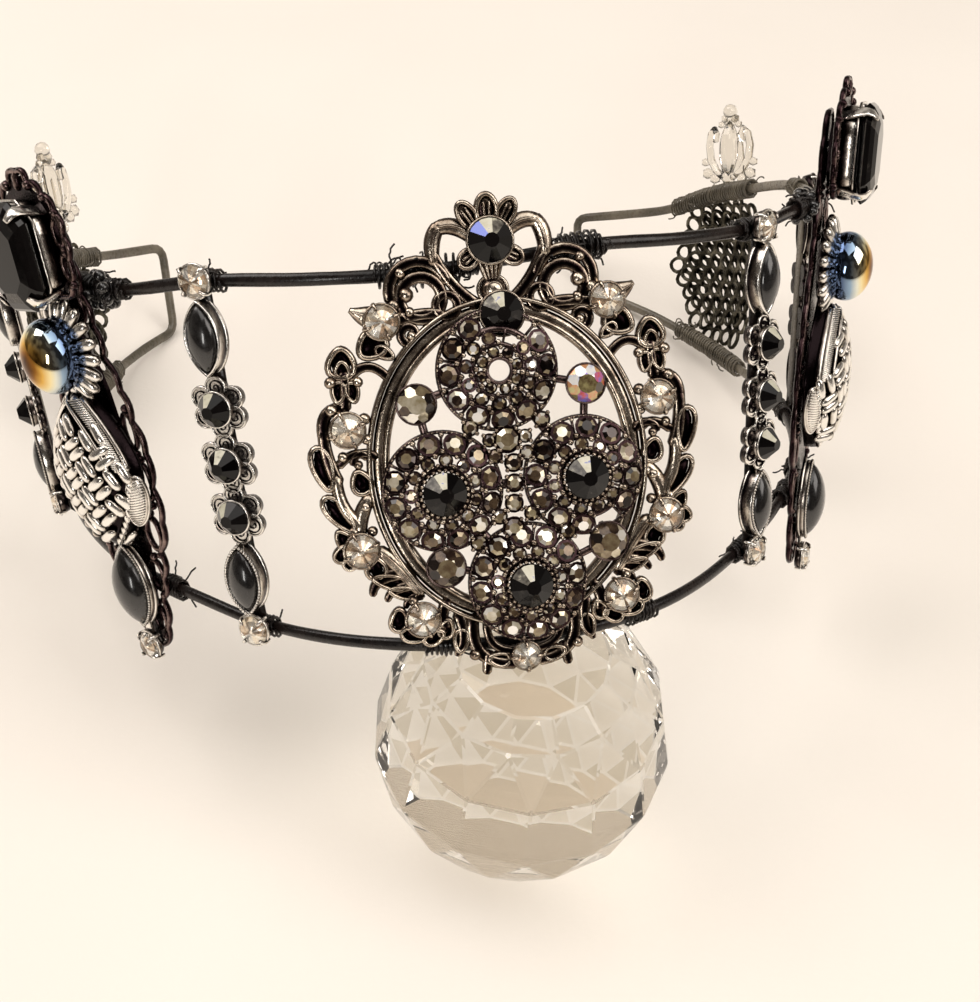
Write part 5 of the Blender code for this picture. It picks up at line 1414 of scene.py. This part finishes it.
# Lace of cast wire: a scalloped edge, rings round the holes, knobs between them and curls to the middle.
def addLace(bm, edge, holes, centreY, stretch, height):
    addShape(bm, drawTube(scallops(edge, centreY, stretch, height), 1.15, 1.15, 8, closed=True))
    for x, y, halfWidth, halfHeight in holes:
        for mirror in (-1, 1):
            spotX, spotY = mirror * x, centreY + y * stretch
            addRing(bm, (halfWidth + 0.45, halfHeight + 0.45), height, 0.95, 1.15, 8, (spotX, spotY), 22)
            for end in (-1, 1):
                addBall(bm, (spotX + mirror * 0.5, spotY + end * (halfHeight + 1.35), height + 0.15), 0.78)
            if x > 5.0 and halfWidth > 1.0:
                curl = [Vector((spotX - mirror * (halfWidth + over), spotY + lift, height))
                        for over, lift in ((0.3, 0.0), (2.2, 1.2), (3.4, 0.2))]
                addShape(bm, drawTube(curl, 0.8, 0.9, 7))


def laceCore(bm, loop, low, high):
    core = startShape()
    loop = loop + [(-x, y) for x, y in reversed(loop)]
    face = core.faces.new([core.verts.new((x, y, low)) for x, y in loop])
    fresh = newVertices(bmesh.ops.extrude_face_region(core, geom=[face]))
    bmesh.ops.translate(core, vec=(0.0, 0.0, high - low), verts=fresh)
    setRise(core, lambda spot: -0.4)
    addShape(bm, closeShape(core))


def makeBackplate(bm, stretch):
    loop = [(half * 0.60 - 0.5 if half > 2 else half * 0.6, y * stretch * 0.97) for y, half in plateEdge]
    laceCore(bm, loop, 0.25, 0.95)
    addLace(bm, plateEdge, plateHoles, 0.0, stretch, 0.6)


# The octagon's own lace back, with a bud at its top.
def addOctagonBack(bm, octagonY):
    height = plateTop + octagonBackAt
    loop = [(half * 0.80, octagonY + y * 0.9) for y, half in octagonBack]
    laceCore(bm, loop, height - 0.35, height + 0.35)
    addLace(bm, octagonBack, octagonBackHoles, octagonY, 1.0, height)
    top = octagonY + octagonBack[-1][0]
    bud = [Vector((x, top - down, height + lift))
           for x, down, lift in ((0.0, 3.0, 0.3), (0.15, 1.4, 0.4), (0.0, 0.2, 0.0))]
    addShape(bm, drawTube(bud, [2.2, 1.7, 0.6], [1.3, 1.1, 0.5], 8))
    for side in (-1.0, 1.0):
        addBall(bm, (side * 3.2, octagonY + 10.8, height + 0.3), 0.95)
        addBall(bm, (side * 6.6, octagonY + 8.8, height + 0.3), 0.85)


# The bead is dark gold in front, then cream, then blue at the back: its darkness in front is a painted
# reflection, and the gold, cream and blue are its coating.
def addMirrorBead(bead):
    half = ornament["beadHalf"]
    bmesh.ops.create_uvsphere(bead, u_segments=48, v_segments=28, radius=1.0)
    setRise(bead, lambda spot: spot.z)
    bmesh.ops.scale(bead, vec=half, verts=bead.verts)
    bmesh.ops.translate(bead, vec=(0.0, ornament["beadY"], plateTop + half[2]), verts=bead.verts)
    for face in bead.faces:
        face.smooth = True


def makeOrnament(side, row):
    plate, basket, back, stone, weave, bead, cradle, dome, clear, foil = (startShape() for _ in range(10))
    high, low = row["octagonY"], row["lowY"]
    half = ornament["cabochon"]
    clearY = low - half[1] - 4.6
    makeBackplate(plate, row["stretch"])
    makeBasket(basket, high)
    addOctagonBack(back, high)
    stand = Matrix.Translation((0.0, high, plateTop + ornament["basket"] + 0.3))
    addShape(stone, octagonStone(), stand, 0.34, 0.30)
    makeLeaf(weave)
    addBeadCup(weave)
    addMirrorBead(bead)
    addBezel(cradle, low, half, bezels["ornament"])
    addPronged(cradle, 0.0, clearY, clearStone["radius"], plateTop + 1.5, plateTop + 0.2)
    strap(cradle, (0.0, clearY + 2.0), (0.0, low - 6.0), 2.2, plateTop + 0.7)
    stand = Matrix.Translation((0.0, low, plateTop + ornament["bezel"] + 0.5))
    addShape(dome, spindleStone(*half, ornament["cabochonRise"]), stand, 0.4, 0.1)
    setClear(clear, foil, (0.0, clearY, plateTop + 1.75), 0.3, clearStone["radius"])
    for name, bm, finish, node, slotName in (
            ("lace_plate", plate, "cherryBlack", "backplate", None),
            ("claw_basket", basket, "silver", "octagon_setting", None),
            ("octagon_lace", back, "cherryBlack", None, "silver"),
            ("octagon", stone, "blackStone", "octagon_stone", None),
            ("leaf", weave, "silver", "woven_leaf", None),
            ("mirror_bead", bead, "peacockBead", "bead", None),
            ("cradle", cradle, "silver", "cabochon_setting", None),
            ("dome", dome, "cabochon", "cabochon", None),
            ("drop_foil", foil, "clearFoil", None, None),
            ("drop", clear, "crystal", "clear_stone", None)):
        nodes = [f"{side}_{node}"] if node else ()
        finishPiece(f"{side}_{name}", bm, finish, nodes, local(ornamentPlacing(row)))
    print("ornament", side, "built")


# Rear nets with crystal finials: azimuth, mid height and how far the finial stands off the net's middle.
nets = {"left": {"azimuth": -114.8, "height": 46.6, "finialX": -6.0},
        "right": {"azimuth": 108.8, "height": 42.4, "finialX": -2.0}}
net = {"half": (18.2, 19.4), "dome": 4.6, "pitch": 3.3, "strand": 1.45, "stretch": 1.15, "ripple": 0.42}


def netPlacing(row):
    low, high = onWire(lowerWire, row["azimuth"]), onWire(upperWire, row["azimuth"])
    outward = outwardAt(row["azimuth"])
    lean = math.degrees(math.atan2((high - low).dot(outward), high.z - low.z))
    middle = low.lerp(high, (row["height"] - low.z) / (high.z - low.z))
    return placing(middle + outward * 1.15, row["azimuth"], lean)


def addNetLayer(bm, azimuth, layer, size, sink):
    pitch, stretch, half = net["pitch"], net["stretch"], net["half"]
    knots = startShape()
    for j in range(-7, 8):
        for i in range(-7, 8):
            x = (i + 0.5 * (j % 2) + 0.37 * layer) * pitch
            y = (j + 0.45 * layer) * pitch * math.sqrt(3) / 2 * stretch
            if (x / (half[0] * size - 1.3)) ** 2 + (y / (half[1] * size - 1.3)) ** 2 < 1.0:
                place = (Matrix.Translation((x, y, 0.0)) @ Matrix.Diagonal((1.0, stretch, 1.0, 1.0))
                         @ Matrix.Rotation(math.pi / 6, 4, "Z"))
                bmesh.ops.create_circle(knots, cap_ends=True, segments=6, radius=pitch / math.sqrt(3),
                                        matrix=place)
    bmesh.ops.remove_doubles(knots, verts=knots.verts, dist=0.05)
    for vertex in knots.verts:
        drift = noise.noise_vector(vertex.co * 0.55 + Vector((azimuth, 9.0 * layer, 0.0)))
        vertex.co.x += net["ripple"] * drift.x * 2.0
        vertex.co.y += net["ripple"] * drift.y * 2.0
        bulge = net["dome"] * (1 - (vertex.co.x / half[0]) ** 2 - (vertex.co.y / half[1]) ** 2)
        vertex.co.z = 0.75 + bulge * (1 - 0.12 * layer) + 0.35 * drift.z - sink
    bmesh.ops.recalc_face_normals(knots, faces=knots.faces)
    bmesh.ops.wireframe(knots, faces=knots.faces, thickness=net["strand"], offset=0.0, use_replace=True,
                        use_boundary=True, use_even_offset=True)
    addShape(bm, closeShape(knots, anyCorners))


def makeNet(side, row):
    bm = startShape()
    addNetLayer(bm, row["azimuth"], 0, 1.0, 0.0)
    addNetLayer(bm, row["azimuth"], 1, 0.78, 0.7)          # a smaller net lies behind the first
    piece = finishPiece(f"{side}_net_mesh", bm, "netMetal", [f"{side}_net"], local(netPlacing(row)))
    softer = piece.modifiers.new("softer", "SUBSURF")
    softer.levels = softer.render_levels = 1
    print("net", side, "knotted")


def spindle(radius, halfLength, sides=10):
    bm = startShape()
    arc = []
    for i in range(13):
        part = -1 + 2 * i / 12
        x = radius * (1 - abs(part) ** 2.2) ** 0.8
        arc.append(bm.verts.new((x if 0 < i < 12 else 0.0, halfLength * part, 0.0)))
    edges = [bm.edges.new(pair) for pair in zip(arc, arc[1:])]
    spinArc(bm, arc, edges, sides)
    return closeShape(bm)


# Clear finial: a tall drop between curled arms, with beads round it. Arms: path, widths, thickness.
finial = {"drop": (2.3, 6.4, 8),
          "arms": ((((1.6, 0.8, 0.0), (4.4, 2.4, 0.2), (6.6, 5.0, 0.3), (7.1, 8.2, 0.2), (6.4, 11.0, 0.0),
                     (5.0, 12.0, -0.2), (4.2, 10.8, -0.2), (4.7, 9.2, 0.0)),
                    (1.5, 1.8, 2.0, 1.9, 1.6, 1.4, 1.2, 1.1), 1.7),
                   (((1.8, 2.0, 0.8), (3.3, 5.2, 1.0), (3.0, 8.8, 0.8)), (1.4, 1.9, 1.2), 1.5)),
          "beads": ((7.4, 1.8, 1.5), (4.8, 0.6, 1.4), (1.7, 14.2, 1.1), (8.4, 4.4, 1.1), (3.0, 12.9, 0.9)),
          "spine": ((13.6, 1.5), (15.84, 1.72), (0.8, 1.7), (-1.4, 1.7))}


def makeFinial(side, row):
    bm = startShape()
    middle = Vector((row["finialX"], net["half"][1] + 0.94, 1.0))
    addShape(bm, spindle(*finial["drop"]), Matrix.Translation(middle + Vector((0.1, 7.4, 0.2))))
    for sign in (-1.0, 1.0):
        for points, widths, thick in finial["arms"]:
            path = [middle + Vector((sign * x, y, z)) for x, y, z in points]
            addShape(bm, drawTube(path, widths, thick, 8))
        for x, y, radius in finial["beads"]:
            addBall(bm, middle + Vector((sign * x, y, 0.2)), radius, detail=1)
    for y, radius in finial["spine"]:
        addBall(bm, middle + Vector((0.05, y, 0.2)), radius)
    # The finial's glass is the darker crystal copy, a painted shade.
    finishPiece(f"{side}_crystal_finial", bm, "shadedCrystal", [f"{side}_finial"], local(netPlacing(row)))
    print("finial", side, "set")


# Glass ball: its middle is found from the CAD solid's own box. Rows of corners from the top down: height
# over half the ball's height, and shift by half a side. The lower half draws from wider, darker shades: a
# painted shade.
glassBall = {"radius": 26.35, "sides": 14, "edge": 0.30, "lowPaintedShades": (0.1, 0.3, 0.6, 0.9, 1.0),
             "highShades": (0.55, 0.7, 0.8, 1.0),
             "rows": ((1.0, 0), (0.84, 0), (0.50, 1), (-0.04, 1), (-0.40, 0), (-0.66, 1), (-0.86, 0),
                      (-1.0, 1))}


def makeBall():
    low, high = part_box("glass_ball")
    half = (high.z - low.z) / 2 / mm
    bm = startShape()
    for level, shift in glassBall["rows"]:
        height = level * half
        reach = math.sqrt(glassBall["radius"] ** 2 - height ** 2)
        turned = Matrix.Rotation(math.pi / glassBall["sides"] * shift, 4, "Z")
        bmesh.ops.create_circle(bm, segments=glassBall["sides"], radius=reach,
                                matrix=Matrix.Translation(rising(height)) @ turned)
    bmesh.ops.convex_hull(bm, input=bm.verts[:])
    bmesh.ops.dissolve_limit(bm, angle_limit=0.01, verts=bm.verts, edges=bm.edges)
    layer = bm.faces.layers.float["tint"]
    for face in bm.faces:
        # Painted shade: facets of the lower half draw darker shades.
        lower = face.calc_center_median().z < -0.08 * half
        face[layer] = random.choice(glassBall["lowPaintedShades" if lower else "highShades"])
    bevelled = bmesh.ops.bevel(bm, geom=bm.edges[:], offset=glassBall["edge"], affect="EDGES", segments=1,
                               profile=0.5, material=-1)
    for face in bevelled["faces"]:
        face[layer] = 1.0
    bmesh.ops.recalc_face_normals(bm, faces=bm.faces)
    finishPiece("crystal_ball", bm, "ballGlass", ["glass_ball"], Matrix.Translation((low + high) / 2))
    print("ball cut with", glassBall["sides"], "sides")


# Fine black wire that ties the pieces on: wire, azimuth, span, turns, reach around it.
wraps = (
    (upperWire, -9.6, 4.6, 8, 1.55), (upperWire, 9.8, 4.6, 8, 1.60),
    (upperWire, -4.4, 2.0, 4, 1.50), (upperWire, -13.0, 4.4, 7, 1.9),
    (upperWire, 6.2, 4.0, 7, 1.9), (upperWire, -8.0, 5.0, 6, 2.3), (upperWire, 9.0, 5.0, 6, 2.3),
    (upperWire, -55.0, 9.0, 16, 2.3), (upperWire, 56.2, 9.0, 16, 2.3),
    (upperWire, -35.2, 4.6, 8, 1.75), (upperWire, 35.2, 4.6, 8, 1.75),
    (upperWire, -83.0, 4.4, 7, 1.7), (upperWire, 82.0, 4.4, 7, 1.7),
    (upperWire, -48.6, 3.4, 6, 1.7), (upperWire, -61.5, 3.4, 6, 1.7),
    (upperWire, 49.8, 3.6, 7, 1.8), (upperWire, 62.6, 3.4, 6, 1.7),
    (lowerWire, -11.4, 4.4, 8, 1.6), (lowerWire, 12.6, 4.4, 8, 1.6),
    (lowerWire, -35.2, 4.8, 8, 1.7), (lowerWire, 35.2, 4.8, 8, 1.7),
    (lowerWire, -50.6, 4.0, 8, 1.8), (lowerWire, 52.4, 4.0, 7, 1.8),
    (lowerWire, -83.0, 4.4, 7, 1.7), (lowerWire, 82.0, 4.4, 7, 1.7),
    (lowerWire, -59.6, 3.4, 6, 1.7), (lowerWire, 60.6, 3.4, 6, 1.7),
    (upperWire, -114.0, 19.0, 34, 2.0), (upperWire, 108.6, 20.0, 36, 2.0),
    (lowerWire, 108.8, 17.0, 30, 2.0), (lowerWire, -115.4, 15.0, 26, 2.0))
tie = {"wire": 0.5, "perTurn": 10, "looseWire": 0.34, "looseSteps": 7, "loose": (1.8, 3.8),
       "beadsAt": (-51.5, 52.5), "beads": 15}
wrapUp, looseUp = Vector((0.31, 0.17, 0.93)).normalized(), Vector((0.43, 0.11, 0.89)).normalized()


def coilPath(table, azimuth, span, turns, reach):
    path = []
    for i in range(turns * tie["perTurn"] + 1):
        part = i / (turns * tie["perTurn"])
        spot = azimuth - span / 2 + span * part + 0.10 * span / turns * math.sin(5.1 * part * turns)
        centre, out = onWire(table, spot), outwardAt(spot)
        swell = reach * (1 + 0.16 * noise.noise(centre * 0.9 + rising(part * 9.0)))
        angle = 2 * math.pi * i / tie["perTurn"]
        path.append(centre + out * swell * 0.86 * math.cos(angle) + rising(swell * math.sin(angle)))
    return path


def looseEnd(table, azimuth, reach, length):
    centre, out = onWire(table, azimuth), outwardAt(azimuth)
    side = Vector((out.y, -out.x, 0.0)) * random.choice((-1, 1))
    angle = random.uniform(0, 2 * math.pi)
    path = [centre + out * reach * math.cos(angle) + rising(reach * math.sin(angle))]
    heading = out * math.cos(angle) + rising(math.sin(angle)) + side * random.uniform(0.2, 0.9)
    heading.normalize()
    for _ in range(tie["looseSteps"]):
        stray = Vector([random.uniform(-0.5, 0.5) for _ in range(3)])
        heading = (heading + stray - (path[-1] - centre).normalized() * 0.22).normalized()
        path.append(path[-1] + heading * length / tie["looseSteps"])
    return path


def makeWraps():
    bm = startShape()
    for table, azimuth, span, turns, reach in wraps:
        coil = coilPath(table, azimuth, span, turns, reach)
        addShape(bm, drawTube(coil, tie["wire"], tie["wire"], 6, up=wrapUp, blunt=0.2))
        for _ in range(5 + turns // 4):
            spot = azimuth + random.uniform(-0.5, 0.5) * span
            path = looseEnd(table, spot, reach, random.uniform(*tie["loose"]))
            addShape(bm, drawTube(path, tie["looseWire"], tie["looseWire"], 5, up=looseUp, blunt=0.2))
    finishPiece("tie_wires", bm, "blackWire")
    beads = startShape()
    for azimuth in tie["beadsAt"]:                         # small beads knotted in beside the side ornaments
        for _ in range(tie["beads"]):
            spot = azimuth + random.uniform(-3.0, 3.0)
            angle = random.uniform(0, 2 * math.pi)
            out = outwardAt(spot) * math.cos(angle) + rising(math.sin(angle))
            ball = ballShape(random.uniform(0.8, 1.15))
            ball.attributes["tint"].data.foreach_set("value", [0.5] * len(ball.polygons))
            place = onWire(upperWire, spot) + out * random.uniform(2.0, 2.7)
            addShape(beads, ball, Matrix.Translation(place))
    finishPiece("tie_beads", beads, "cabochon")
    print("tie wires wound")


def main():
    random.seed(7)
    noise.seed_set(7)                                      # or else the nets drift another way in each run
    setUpCamera()
    setUpStudio()
    layFloor()
    makeFinishes()
    makeFrameWire()
    makeFiligree()
    makeCluster()
    makeMedallionStones()
    for side, row in bars.items():
        makeBar(side, row)
    for side, row in ornaments.items():
        makeOrnament(side, row)
    for side, row in nets.items():
        makeNet(side, row)
        makeFinial(side, row)
    makeBall()
    makeWraps()


main()
